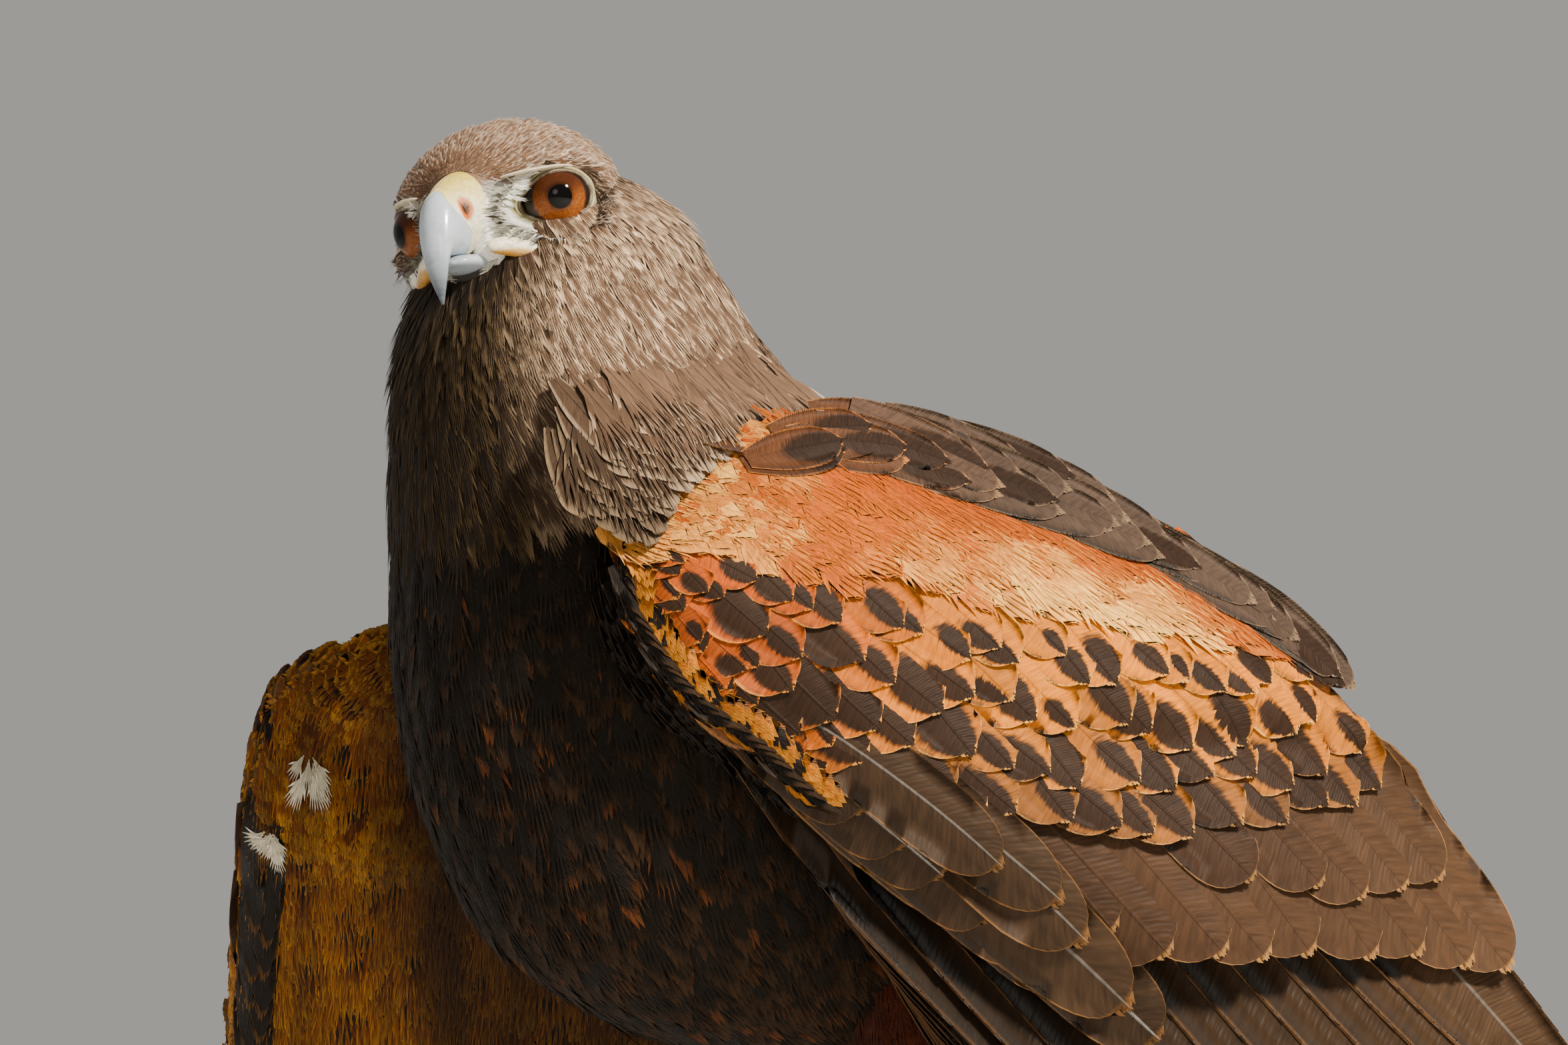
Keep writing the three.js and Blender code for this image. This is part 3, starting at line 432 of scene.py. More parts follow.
class Feathers:
    """Gathers feathers of one shape, and turns them into one mesh."""

    def __init__(self, shape):
        self.shape = shape
        self.points = []
        self.spots = []
        self.looks = []

    def add(self, points, spots, look):
        self.points.append(points)
        self.spots.append(spots)
        self.looks.append({key: np.broadcast_to(value, (len(points), value.shape[-1]))
                           for key, value in look.items()})

    def on_skin(self, roots, lies, normals, length, width, look, spots, arch=0.12, lift=0.16, sag=0.1):
        u, v, w, reach = [self.shape[key] for key in ("u", "v", "width", "reach")]
        count = len(roots)
        length = np.broadcast_to(length, (count,))[:, None, None]
        width = np.broadcast_to(width, (count,))[:, None, None]
        lift = np.broadcast_to(lift, (count,))[:, None, None]
        sag = np.broadcast_to(sag, (count,))[:, None, None]
        side = unit(np.cross(lies, normals))[:, None]
        rise = lift * length * u[None, :, None] - sag * length * u[None, :, None] ** 2
        rise = rise - arch * width * (w * v)[None, :, None] ** 2
        points = roots[:, None] + lies[:, None] * length * reach[None, :, None]
        points = points + side * width * 0.5 * (w * v)[None, :, None] + normals[:, None] * rise
        self.add(points, spots, look)

    def on_sheet(self, place, roots, tips, width, level_root, level_tip, look, spots, bow=0.0,
                 arch=0.05, shaft=0.0):
        u, v, w, reach = [self.shape[key] for key in ("u", "v", "width", "reach")]
        count = len(roots)
        way = tips - roots
        length = np.linalg.norm(way, axis=-1)[:, None]
        way = way / length
        cross = np.stack([-way[:, 1], way[:, 0]], -1)
        width = np.broadcast_to(width, (count,))[:, None]
        bow = np.broadcast_to(bow, (count,))[:, None]
        level_root = np.broadcast_to(level_root, (count,))[:, None]
        level_tip = np.broadcast_to(level_tip, (count,))[:, None]
        off = width * 0.5 * (w * v)[None] + bow * 4 * (u * (1 - u))[None]
        a = roots[:, :1] + way[:, :1] * length * reach[None] + cross[:, :1] * off
        b = roots[:, 1:] + way[:, 1:] * length * reach[None] + cross[:, 1:] * off
        level = level_root + (level_tip - level_root) * u[None] - arch * width * ((w * v) ** 2)[None]
        level = level + shaft * (np.abs(v) < 0.01)[None]
        self.add(place(a, b, level), spots, look)

    def piece(self, name, finish, face_away=False):
        shape = self.shape
        points = np.concatenate(self.points)
        count, size = points.shape[:2]
        faces = shape["faces"][None] + (np.arange(count) * size)[:, None, None]
        faces = faces.reshape(-1, 3)
        obj = mesh_object(name, points.reshape(-1, 3), faces[:, ::-1] if face_away else faces)
        for key in ("ground", "fringe", "heart", "form"):
            colour = np.concatenate([look[key] for look in self.looks])
            point_colours(obj, key, np.repeat(colour, size, 0))
        across = np.clip((shape["v"] + 1) / 2, 0, 1)
        own = np.stack([across, np.clip(shape["u"], 0, 1.06)], -1)
        spots = np.concatenate(self.spots)[:, None]
        baked = spots + (own[None] - 0.5) * PATCH
        uv_map(obj, "OFBake", np.clip(baked, 0.001, 0.999).reshape(-1, 2))
        uv_map(obj, "vane", np.tile(own, (count, 1)), active=True)
        obj.data.materials.append(finish)
        return obj

# %% [markdown]
# The finish of a feather is a pattern on its own vane: a ground colour, a paler fringe along its
# edge, sometimes a darker heart, a fine shaft, and barbs that run slantwise from shaft to edge.
# The colours and the widths of the fringe and heart come with each feather as attributes, so one
# material can clothe the whole bird.

# %% Node helpers
class Nodes:
    """Short calls that add a node to a tree and link it."""

    def __init__(self, tree):
        self.tree = tree

    def put(self, value, socket):
        if isinstance(value, bpy.types.NodeSocket):
            self.tree.links.new(value, socket)
        else:
            socket.default_value = value

    def math(self, operation, a, b=0.0, clamp=False):
        node = self.tree.nodes.new("ShaderNodeMath")
        node.operation = operation
        node.use_clamp = clamp
        self.put(a, node.inputs[0])
        self.put(b, node.inputs[1])
        return node.outputs[0]

    def times(self, a, b):
        return self.math("MULTIPLY", a, b)

    def plus(self, a, b):
        return self.math("ADD", a, b)

    def minus(self, a, b):
        return self.math("SUBTRACT", a, b)

    def ramp(self, value, low, high, to_low=0.0, to_high=1.0):
        node = self.tree.nodes.new("ShaderNodeMapRange")
        node.interpolation_type = "SMOOTHSTEP"
        for socket, given in zip(("Value", "From Min", "From Max", "To Min", "To Max"),
                                 (value, low, high, to_low, to_high)):
            self.put(given, node.inputs[socket])
        return node.outputs["Result"]

    def mix(self, factor, a, b, blend="MIX"):
        node = self.tree.nodes.new("ShaderNodeMix")
        node.data_type = "RGBA"
        node.blend_type = blend
        self.put(factor, node.inputs[0])
        self.put(a, node.inputs[6])
        self.put(b, node.inputs[7])
        return node.outputs[2]

    def noise(self, vector, scale, detail=3.0, roughness=0.55):
        node = self.tree.nodes.new("ShaderNodeTexNoise")
        if vector is not None:
            self.put(vector, node.inputs["Vector"])
        node.inputs["Scale"].default_value = scale
        node.inputs["Detail"].default_value = detail
        node.inputs["Roughness"].default_value = roughness
        return node.outputs["Fac"]

    def vector(self, x, y, z):
        node = self.tree.nodes.new("ShaderNodeCombineXYZ")
        for socket, value in zip(node.inputs, (x, y, z)):
            self.put(value, socket)
        return node.outputs[0]

    def parts(self, vector):
        node = self.tree.nodes.new("ShaderNodeSeparateXYZ")
        self.put(vector, node.inputs[0])
        return node.outputs

    def attribute(self, name):
        node = self.tree.nodes.new("ShaderNodeAttribute")
        node.attribute_name = name
        return node.outputs

    def coordinates(self):
        return self.tree.nodes.new("ShaderNodeTexCoord").outputs["Object"]

def new_finish(name, roughness, **constants):
    """A material with its Principled shader, and constants set on the shader's own sockets."""
    material = bpy.data.materials.new(name)
    material.use_nodes = True
    shader = material.node_tree.nodes["Principled BSDF"]
    shader.inputs["Roughness"].default_value = roughness
    for key, value in constants.items():
        shader.inputs[key.replace("_", " ")].default_value = value
    return material, Nodes(material.node_tree), shader

def bump(nodes, shader, height, distance, strength=1.0):
    node = nodes.tree.nodes.new("ShaderNodeBump")
    node.inputs["Strength"].default_value = strength
    node.inputs["Distance"].default_value = distance
    nodes.put(height, node.inputs["Height"])
    nodes.put(node.outputs["Normal"], shader.inputs["Normal"])

# %% The pattern of one vane, as a group
def vane_pattern():
    group = bpy.data.node_groups.new("vane pattern", "ShaderNodeTree")
    for name, kind in (("Ground", "NodeSocketColor"), ("Fringe", "NodeSocketColor"),
                       ("Heart", "NodeSocketColor"), ("Form", "NodeSocketColor"),
                       ("Vane", "NodeSocketVector"), ("Barbs", "NodeSocketFloat"),
                       ("Lean", "NodeSocketFloat")):
        group.interface.new_socket(name, in_out="INPUT", socket_type=kind)
    for name, kind in (("Colour", "NodeSocketColor"), ("Height", "NodeSocketFloat")):
        group.interface.new_socket(name, in_out="OUTPUT", socket_type=kind)
    source = group.nodes.new("NodeGroupInput").outputs
    sink = group.nodes.new("NodeGroupOutput").inputs
    n = Nodes(group)
    across, along, _ = n.parts(source["Vane"])
    off = n.math("ABSOLUTE", n.minus(n.times(across, 2.0), 1.0))
    fringe_width, heart_size, shaft_tone = n.parts(source["Form"])
    slant = n.plus(n.times(along, source["Barbs"]), n.times(off, -5.0))
    where = n.parts(n.coordinates())
    own = n.times(n.plus(where[1], where[2]), 9.0)
    side = n.math("SIGN", n.minus(across, 0.5))
    streak = n.noise(n.vector(n.times(slant, 0.55), n.times(side, off), own), 1.6, 4.0)
    edge = n.math("MINIMUM", n.minus(1.0, off), n.times(n.minus(1.0, along), 1.7))
    ragged = n.times(n.minus(streak, 0.5), 0.5)
    ragged_edge = n.plus(edge, n.times(ragged, fringe_width))
    fringe = n.ramp(ragged_edge, n.times(fringe_width, 0.35), n.plus(fringe_width, 0.004), 1.0, 0.0)
    long_off = n.times(n.minus(along, 0.83), 1.4)
    lean_off = n.minus(n.minus(n.times(across, 2.0), 1.0), source["Lean"])
    lean_off = n.times(lean_off, 0.85)
    heart_run = n.plus(n.times(lean_off, lean_off), n.times(long_off, long_off))
    heart_run = n.plus(n.math("SQRT", heart_run), n.times(ragged, 0.5))
    heart = n.ramp(heart_run, n.times(heart_size, 0.75), n.plus(heart_size, 0.02), 1.0, 0.0)
    heart = n.times(heart, n.math("GREATER_THAN", heart_size, 0.01))
    colour = n.mix(fringe, source["Ground"], source["Fringe"])
    colour = n.mix(heart, colour, source["Heart"])
    shaft = n.ramp(off, 0.012, 0.055, 1.0, 0.0)
    lighter = n.mix(shaft, colour, n.mix(0.5, colour, (0.75, 0.72, 0.68, 1)))
    darker = n.mix(shaft, colour, n.mix(0.6, colour, (0.01, 0.008, 0.006, 1)))
    colour = n.mix(n.ramp(shaft_tone, 0.1, 0.5, 1.0, 0.0), colour, darker)
    colour = n.mix(n.ramp(shaft_tone, 0.5, 0.9), colour, lighter)
    tone = n.ramp(streak, 0.25, 0.75, 0.72, 1.25)
    colour = n.mix(1.0, colour, n.vector(tone, tone, tone), "MULTIPLY")
    wave = n.math("SINE", n.times(slant, 6.2832))
    height = n.plus(n.times(wave, 0.05), n.times(streak, 0.9))
    height = n.plus(height, n.times(shaft, 0.5))
    n.put(colour, sink["Colour"])
    n.put(height, sink["Height"])
    return group

VANE_PATTERN = vane_pattern()

def feather_finish(name, barbs, depth, roughness=0.62, sheen=0.04):
    material, n, shader = new_finish(name, roughness)
    shader.inputs["Sheen Weight"].default_value = sheen
    shader.inputs["Sheen Roughness"].default_value = 0.45
    shader.inputs["Specular IOR Level"].default_value = 0.11
    pattern = n.tree.nodes.new("ShaderNodeGroup")
    pattern.node_tree = VANE_PATTERN
    for layer in ("ground", "fringe", "heart", "form"):
        n.put(n.attribute(layer)["Color"], pattern.inputs[layer.capitalize()])
    n.put(n.attribute("form")["Alpha"], pattern.inputs["Lean"])
    vane = n.tree.nodes.new("ShaderNodeUVMap")
    vane.uv_map = "vane"
    n.put(vane.outputs[0], pattern.inputs["Vane"])
    pattern.inputs["Barbs"].default_value = barbs
    n.put(pattern.outputs["Colour"], shader.inputs["Base Color"])
    bump(n, shader, pattern.outputs["Height"], depth)
    return material

FINE_FEATHER = feather_finish("fine feather", 9.0, 0.00035)
SOFT_FEATHER = feather_finish("soft feather", 22.0, 0.0004)
COVERT_FEATHER = feather_finish("covert feather", 48.0, 0.0003, roughness=0.55)
FLIGHT_FEATHER = feather_finish("flight feather", 150.0, 0.0003, roughness=0.48, sheen=0.05)

def look(ground, fringe=None, heart=None, form=(0.25, 0.0, 0.0, 0.0), tone=None):
    """Colours of feathers. form holds the fringe's width, the heart's size, how dark (0.1) or pale
    (0.9) the shaft is, and how far the heart leans to one side. tone brightens or darkens each."""
    ground = np.atleast_2d(ground)
    fringe = ground * 1.25 if fringe is None else np.atleast_2d(fringe)
    heart = ground * 0.5 if heart is None else np.atleast_2d(heart)
    if tone is not None:
        tone = tone[:, None]
        ground, fringe, heart = ground * tone, fringe * tone, heart * tone
    return {"ground": ground, "fringe": fringe, "heart": heart, "form": np.atleast_2d(form)}

def blend(factor, a, b):
    factor = np.clip(factor, 0, 1)[:, None]
    return np.atleast_2d(a) * (1 - factor) + np.atleast_2d(b) * factor

# %% [markdown]
# Under the feathers lies one skin. It is lofted from the same ribs as the solids, drawn in by the
# depth of the coat, closed at its ends, joined to one body by a voxel remesh, and smoothed. The
# wing and tail solids are covered by their own feathers later.

# %% Skin
COAT_DEPTH = 2.6
SKIN_VOXEL = 0.0016

def lofted(name, surface, rings=40, around=48):
    t = np.linspace(0, 1, rings)
    turns = np.linspace(0, 2 * math.pi, around, endpoint=False)
    grid = surface(np.repeat(t[:, None], around, 1), np.repeat(turns[None], rings, 0))
    points = np.concatenate([grid.reshape(-1, 3), grid[:1].mean(axis=1), grid[-1:].mean(axis=1)])
    return face_outward(mesh_object(name, points, ring_faces(rings, around)))

def neck_surface(t, turn, grow=0.0):
    return rib_surface(NECK_RIBS, t, turn, grow)

def torso_surface(t, turn, grow=0.0):
    return rib_surface(TORSO_RIBS, t, turn, grow)

def thigh_surface(sign):
    rows = [row[:5] + [sign * row[5]] for row in THIGH_RIBS]
    return lambda t, turn, grow=0.0: rib_surface(rows, t, turn, grow)

# %% [markdown]
# The eye sits in an opening that is wider than it is high, with a drawn-out front corner. The skin
# dips to the ball of the eye all round it, and runs on under the ball, so no gap can show. The same
# dip is given to the roots of the feathers that stand there.

# %% The opening of the eye
def gaze_axes(sign):
    gaze = unit(EYE_GAZE * np.array([sign, 1, 1]))
    up = unit(np.array([0, 0, 1.0]) - gaze * gaze[2])
    right = np.cross(up, gaze) * sign
    return gaze, up, right

def at_place(point_mm):
    return Vector(np.asarray(point_mm) * MM + SHIFT)

def eye_place(sign):
    return EYE_CENTRE * np.array([sign, 1, 1])

def opening_radius(turn):
    """Half width of the opening in a direction, where turn 0 points to the back of the head."""
    wide, high = 7.4, 5.9
    base = wide * high / np.hypot(high * np.cos(turn), wide * np.sin(turn))
    to_front = np.abs((turn - math.radians(184) + math.pi) % (2 * math.pi) - math.pi)
    return base + 1.7 * np.exp(-(to_front / 0.34) ** 2)

def beside_eye(points, sign):
    """Reach from the line of sight as a share of the opening, and height toward the viewer."""
    gaze, up, right = gaze_axes(sign)
    away = points - eye_place(sign)
    across, high, along = away @ right, away @ up, away @ gaze
    reach = np.hypot(across, high)
    return reach / opening_radius(np.arctan2(high, across)), reach, along

def dip_to_eye(points):
    """Places in the head's frame, sunk to the ball of the eye near its opening."""
    points = np.array(points, float)
    for sign in (1, -1):
        gaze = gaze_axes(sign)[0]
        share, reach, along = beside_eye(points, sign)
        ball = np.sqrt(np.maximum((EYE_RADIUS - 0.2) ** 2 - np.minimum(reach, 8.2) ** 2, 0))
        edge = np.clip((share - 1.12) / 0.5, 0, 1)
        limit = np.where(share < 1.06, ball - 1.6, ball - 0.2 + 9 * edge ** 1.6)
        near = (share < 1.62) & (along > 0) & (along > limit)
        points = np.where(near[..., None], points + gaze * (limit - along)[..., None], points)
    return points

# %% One skin
def head_surface(t, turn, grow=0.0):
    return from_head(dip_to_eye(rib_surface(HEAD_RIBS, t, turn, grow)))

parts = [
    lofted("skin head", lambda t, turn: head_surface(t, turn, -COAT_DEPTH * 0.45), 90, 120),
    lofted("skin neck", lambda t, turn: neck_surface(t, turn, -COAT_DEPTH)),
    lofted("skin torso", lambda t, turn: torso_surface(t, turn, -COAT_DEPTH)),
]
for side, sign in SIDES:
    surface = thigh_surface(sign)
    parts.append(lofted("skin thigh " + side, lambda t, turn: surface(t, turn, -COAT_DEPTH)))
skin = joined("skin", *parts)
skin.data.remesh_voxel_size = SKIN_VOXEL
bpy.ops.object.voxel_remesh()
smooth = skin.modifiers.new("smooth", "SMOOTH")
smooth.factor = 0.5
smooth.iterations = 3
bpy.ops.object.modifier_apply(modifier="smooth")
bpy.ops.object.shade_smooth()
print("skin faces", len(skin.data.polygons))

# %% [markdown]
# Body feathers point away from the bill. On the crown they lie back, on the cheeks they slant down,
# and on the throat they hang down the neck. The field below gives that direction at any place of
# the head, and it is laid flat on the skin there.

# %% Direction of the head's feathers
def soft_step(value, low, high):
    t = np.clip((value - low) / (high - low), 0, 1)
    return t * t * (3 - 2 * t)

def head_lie(points):
    """Direction of feathers on the head, for places in the head's own frame."""
    down = soft_step(-points[:, 2], -14, 22)
    back = np.stack([0.1 * np.sign(points[:, 0]) * (1 - down), 1.0 - 0.55 * down, -0.12 - 0.75 * down], -1)
    for sign in (1, -1):
        away = points - eye_place(sign)
        reach = np.linalg.norm(away, axis=-1, keepdims=True)
        ahead = np.exp(-((reach - 9) / 5.0) ** 2) * (points[:, 1:2] < EYE_CENTRE[1] + 4)
        back = back + 0.3 * ahead * away / np.maximum(reach, 1)
    return unit(back)

def flat_on(normals, lies):
    return unit(lies - normals * np.sum(lies * normals, -1, keepdims=True))

# %% Colours of the coat
CROWN = linear("826048")
CROWN_TIP = linear("d4bba4")
NAPE = linear("654d3b")
NAPE_TIP = linear("cbac8d")
CHEEK = linear("4e3c2e")
# THROAT and BREAST are the coat's dark brown made darker still: painted shade for the throat and breast,
# which lie in the bird's own shade.
THROAT = linear("1c1207")
THROAT_TIP = linear("40301a")
BREAST = linear("100903")
BREAST_TIP = linear("281808")
LORE = linear("f8f4e6")
LORE_TIP = linear("fffdf8")
MANTLE = linear("45311f")
RUMP_WHITE = linear("e6e0d4")

# %% [markdown]
# The head carries thousands of feathers a few millimetres long: small vanes close to the skin, and
# loose wisps over them, whose parted barbs give the silky streaks of a hawk's cheek. They leave the
# eye, the cere and the gape bare. The lores, between eye and bill, have pale bristly down.

# %% Head feathers
def share_of_eye(points):
    """Reach from the nearer eye as a share of its opening; large on the far side of the head."""
    best = np.full(len(points), 99.0)
    for sign in (1, -1):
        share, _, along = beside_eye(points, sign)
        best = np.where((along > -1) & (share < best), share, best)
    return best

def in_lores(points):
    x, y, z = np.abs(points[:, 0]), points[:, 1], points[:, 2]
    front = soft_step(-y, 1.0, 6)
    top = np.minimum(6.4 + 0.3 * (x - 12), 7.0)
    band = soft_step(z, -14.5, -9) * (1 - soft_step(z, top - 3.5, top + 0.5))
    return front * band * soft_step(x, 3, 6)

def bare_face(points):
    x, y, z = np.abs(points[:, 0]), points[:, 1], points[:, 2]
    cere = (y < -8.8 - 0.3 * np.abs(z)) & (z < 10.6) & (x < 9.4)
    flange = np.interp(y, [-16, -12.2, -8.2, -3.2, 0], [-9.2, -9.6, -11.0, -12.7, -13.6])
    gape = (x > 7) & (y < -0.6) & (np.abs(z - flange) < 2.1)
    return (share_of_eye(points) < 1.13) | cere | gape

def head_colours(points):
    """Ground and tip colours over the head, and how far each place belongs to the throat."""
    back = soft_step(points[:, 1], 2, 28)
    side = soft_step(-points[:, 2], -9, 4)
    low = soft_step(-points[:, 2] - 0.35 * points[:, 1], 7, 17)
    lores = np.clip(in_lores(points) * 2.2, 0, 1)
    ground = blend(low, blend(side, CROWN, CHEEK), THROAT)
    tips = blend(low, blend(back, CROWN_TIP, NAPE_TIP), THROAT_TIP)
    return blend(lores, ground, LORE), blend(lores, tips, LORE_TIP), low

def lay_head(shape, name, row_gap, feather_gap, size, lift, form, keep_lores):
    feathers = Feathers(shape)
    t, turn = rows_over(head_surface, 0.02, 0.985, row_gap, feather_gap)
    places, normals, _ = frame_of(lambda a, b: head_surface(a, b, -COAT_DEPTH * 0.35), t, turn)
    own = into_head(places)
    thinned = chance.random(len(own)) > in_lores(own) * (1 - keep_lores) * 1.3
    keep = ~bare_face(own) & (own[:, 1] < 40) & thinned
    own, normals, places, t, turn = own[keep], normals[keep], places[keep], t[keep], turn[keep]
    count = len(own)
    lies = flat_on(normals @ HEAD_AXES, head_lie(own) + chance.normal(0, 0.08, own.shape))
    ground, tips, low = head_colours(own)
    front = soft_step(-own[:, 1], -16, 10)
    length = (size[0] - 0.45 * size[0] * front + 0.2 * size[0] * low) * chance.uniform(0.8, 1.2, count)
    width = (size[1] - 0.35 * size[1] * front) * chance.uniform(0.8, 1.2, count)
    far_cheek = (own[:, 0] < -9) & (own[:, 1] < 6) & (own[:, 2] < -2)
    length = np.where(far_cheek, length * 0.6, length)
    coat = look(ground, tips, ground * 0.45, form, chance.uniform(0.68, 1.3, count))
    spots = skin_spots(turn, t)
    feathers.on_skin(places, lies @ HEAD_AXES.T, normals, length, width, coat, spots,
                     lift=chance.uniform(lift[0], lift[1], count) * np.where(far_cheek, 0.3, 1), sag=lift[2])
    place_piece(feathers.piece(name, FINE_FEATHER), "body_plumage")

lay_head(TINY, "head_feathers", 0.9, 0.9, (6.2, 1.4), (0.07, 0.15, 0.11), (0.45, 0.0, 0.15, 0.0), 0.25)
lay_head(WISP, "head_wisps", 1.15, 1.2, (8.6, 1.8), (0.1, 0.24, 0.17), (0.55, 0.0, 0.3, 0.0), 0.5)

# %% [markdown]
# The neck and the trunk are clothed in rows that run round them. The feathers get longer and wider
# from the nape to the breast and the back, and those of the breast are loose, with frayed tips.

# %% Neck feathers
def lay_neck(shape, name, row_gap, feather_gap, long, wide, lift, form):
    feathers = Feathers(shape)
    t, turn = rows_over(neck_surface, 0.0, 0.985, row_gap, feather_gap)
    places, normals, upward = frame_of(lambda a, b: neck_surface(a, b, -COAT_DEPTH * 0.8), t, turn)
    inside_head = np.linalg.norm(into_head(places) * [1, 0.8, 1], axis=-1) < 15
    places, normals, upward, t, turn = [part[~inside_head] for part in (places, normals, upward, t, turn)]
    count = len(places)
    # The darker throat colour also leans toward the bird's right side, away from the key light: the front's
    # darkness is the throat's own colour, and its lean to the right is painted shade.
    front = soft_step(-normals[:, 1] + 0.35 * -normals[:, 0], 0.0, 0.65)
    lies = flat_on(normals, -upward + chance.normal(0, 0.1, places.shape) + np.array([0, 0.35, 0]))
    length = (long * (1.25 - 0.45 * t) + 3 * front) * chance.uniform(0.85, 1.15, count)
    width = wide * (1.3 - 0.5 * t) * chance.uniform(0.85, 1.15, count)
    ground = blend(front, NAPE, THROAT)
    tips = blend(front, NAPE_TIP, THROAT_TIP)
    coat = look(ground, tips, ground * 0.45, form, chance.uniform(0.7, 1.28, count))
    spots = skin_spots(turn, t)
    feathers.on_skin(places, lies, normals, length, width, coat, spots,
                     lift=chance.uniform(lift[0], lift[1], count) + 0.14 * front * t, sag=lift[2])
    place_piece(feathers.piece(name, FINE_FEATHER), "body_plumage")

lay_neck(SMALL, "neck_feathers", 1.8, 1.8, 11.0, 2.9, (0.07, 0.15, 0.1), (0.42, 0.0, 0.2, 0.0))
lay_neck(WISP, "neck_wisps", 2.0, 2.1, 13.5, 3.0, (0.12, 0.24, 0.16), (0.6, 0.0, 0.3, 0.0))

# %% Trunk feathers
def lay_trunk(shape, name, row_gap, feather_gap, long, wide, lift, form):
    feathers = Feathers(shape)
    t, turn = rows_over(torso_surface, 0.0, 0.99, row_gap, feather_gap)
    places, normals, backward = frame_of(lambda a, b: torso_surface(a, b, -COAT_DEPTH * 0.8), t, turn)
    count = len(places)
    back = soft_step(normals[:, 2], 0.0, 0.6)
    down = np.array([0, 0, -0.8]) * (1 - back)[:, None]
    lies = flat_on(normals, backward + down + chance.normal(0, 0.12, places.shape))
    length = (long + 4 * soft_step(t, 0, 0.5)) * chance.uniform(0.85, 1.15, count)
    width = (wide + 1.2 * back) * chance.uniform(0.85, 1.15, count)
    rump = soft_step(places[:, 1], 100, 118)
    near_neck = 1 - soft_step(places[:, 1], -30, 25)
    mantle = blend(near_neck, MANTLE, NAPE)
    mantle_tip = blend(near_neck, MANTLE * 1.8, NAPE_TIP * 0.9)
    ground = blend(rump, blend(back, BREAST, mantle), RUMP_WHITE)
    rusty = (chance.random(count) < 0.1)[:, None]
    tips = np.where(rusty, linear("4a260c"), blend(back, BREAST_TIP, mantle_tip))
    tips = blend(rump, tips, RUMP_WHITE)
    coat = look(ground, tips, ground * 0.5, form, chance.uniform(0.7, 1.3, count))
    spots = skin_spots(turn, t)
    feathers.on_skin(places, lies, normals, length, width, coat, spots,
                     lift=chance.uniform(lift[0], lift[1], count), sag=lift[2])
    place_piece(feathers.piece(name, SOFT_FEATHER), "body_plumage")

lay_trunk(SMALL, "trunk_feathers", 3.4, 3.6, 15.0, 7.0, (0.04, 0.12, 0.08), (0.3, 0.0, 0.15, 0.0))
lay_trunk(WISP, "trunk_wisps", 4.4, 4.6, 18.0, 7.0, (0.08, 0.18, 0.12), (0.45, 0.0, 0.3, 0.0))

# %% Thigh feathers
# THIGH_RUFOUS is the thighs' chestnut made much darker: painted shade, as the thighs lie in the shade of the
# belly.
THIGH_RUFOUS = linear("3c1605")
THIGH_COAT = ((SMALL, "thigh_feathers_", 3.0, 1.0, 0.1), (WISP, "thigh_wisps_", 4.0, 1.2, 0.18))

for side, sign in SIDES:
    surface = thigh_surface(sign)
    for shape, label, gap, size, lift in THIGH_COAT:
        feathers = Feathers(shape)
        t, turn = rows_over(surface, 0.04, 0.99, gap, gap)
        places, normals, downward = frame_of(lambda a, b: surface(a, b, -COAT_DEPTH * 0.7), t, turn)
        count = len(places)
        lies = flat_on(normals, downward + chance.normal(0, 0.1, places.shape))
        coat = look(THIGH_RUFOUS, THIGH_RUFOUS * 1.8, THIGH_RUFOUS * 0.4, (0.35, 0.0, 0.15, 0.0),
                    chance.uniform(0.7, 1.3, count))
        spots = skin_spots(turn, t)
        feathers.on_skin(places, lies, normals, (15 - 6 * t) * size, (6 - 2.5 * t) * size, coat, spots,
                         lift=chance.uniform(0.4, 1.0, count) * lift, sag=0.1)
        place_piece(feathers.piece(label + side, SOFT_FEATHER), "rufous_plumage")

# %% The skin takes the same colours as the coat over it
count = len(skin.data.vertices)
at = np.empty(count * 3)
skin.data.vertices.foreach_get("co", at)
at = (at.reshape(-1, 3) - SHIFT) / MM
own = into_head(at)
on_head = (own[:, 2] > -30) & (at[:, 2] > 372) & (own[:, 1] < 38)
facing = np.empty(count * 3)
skin.data.vertices.foreach_get("normal", facing)
facing = facing.reshape(-1, 3)
front = soft_step(-facing[:, 1], 0.1, 0.75)
body = blend(soft_step(facing[:, 2], 0, 0.6), BREAST, MANTLE)
body = blend(soft_step(at[:, 1], 96, 118), body, RUMP_WHITE)
neck = blend(front, NAPE, THROAT)
skin_colour = blend(soft_step(at[:, 2] + 0.35 * at[:, 1], 300, 322), body, neck)
under_belly = (np.abs(np.abs(at[:, 0]) - 32) < 22) & (at[:, 1] > 8) & (at[:, 1] < 78)
thigh = (at[:, 2] < 203) | ((at[:, 2] < 240) & under_belly)
skin_colour = np.where(thigh[:, None], THIGH_RUFOUS, skin_colour)
head_colour = head_colours(own)[0]
head_colour = blend(np.clip(in_lores(own) * 2.2, 0, 1), head_colour, linear("fbf8ee"))
ring = 1 - soft_step(share_of_eye(own), 1.2, 1.4)
head_colour = blend(ring, head_colour, linear("8f8c66"))
skin_colour = np.where(on_head[:, None], head_colour, skin_colour * 0.7)
point_colours(skin, "ground", skin_colour)
skin_finish, n, shader = new_finish("skin", 0.6)
grain = n.noise(n.coordinates(), 1400, 4.0)
ground = n.attribute("ground")["Color"]
shaded = n.mix(0.25, ground, (0.02, 0.015, 0.01, 1))
n.put(n.mix(n.ramp(grain, 0.3, 0.7), shaded, ground), shader.inputs["Base Color"])
bump(n, shader, grain, 0.0003)
skin.data.materials.clear()
skin.data.materials.append(skin_finish)
place_piece(skin, "body_plumage", "torso", "neck", "head", "thigh_left", "thigh_right")

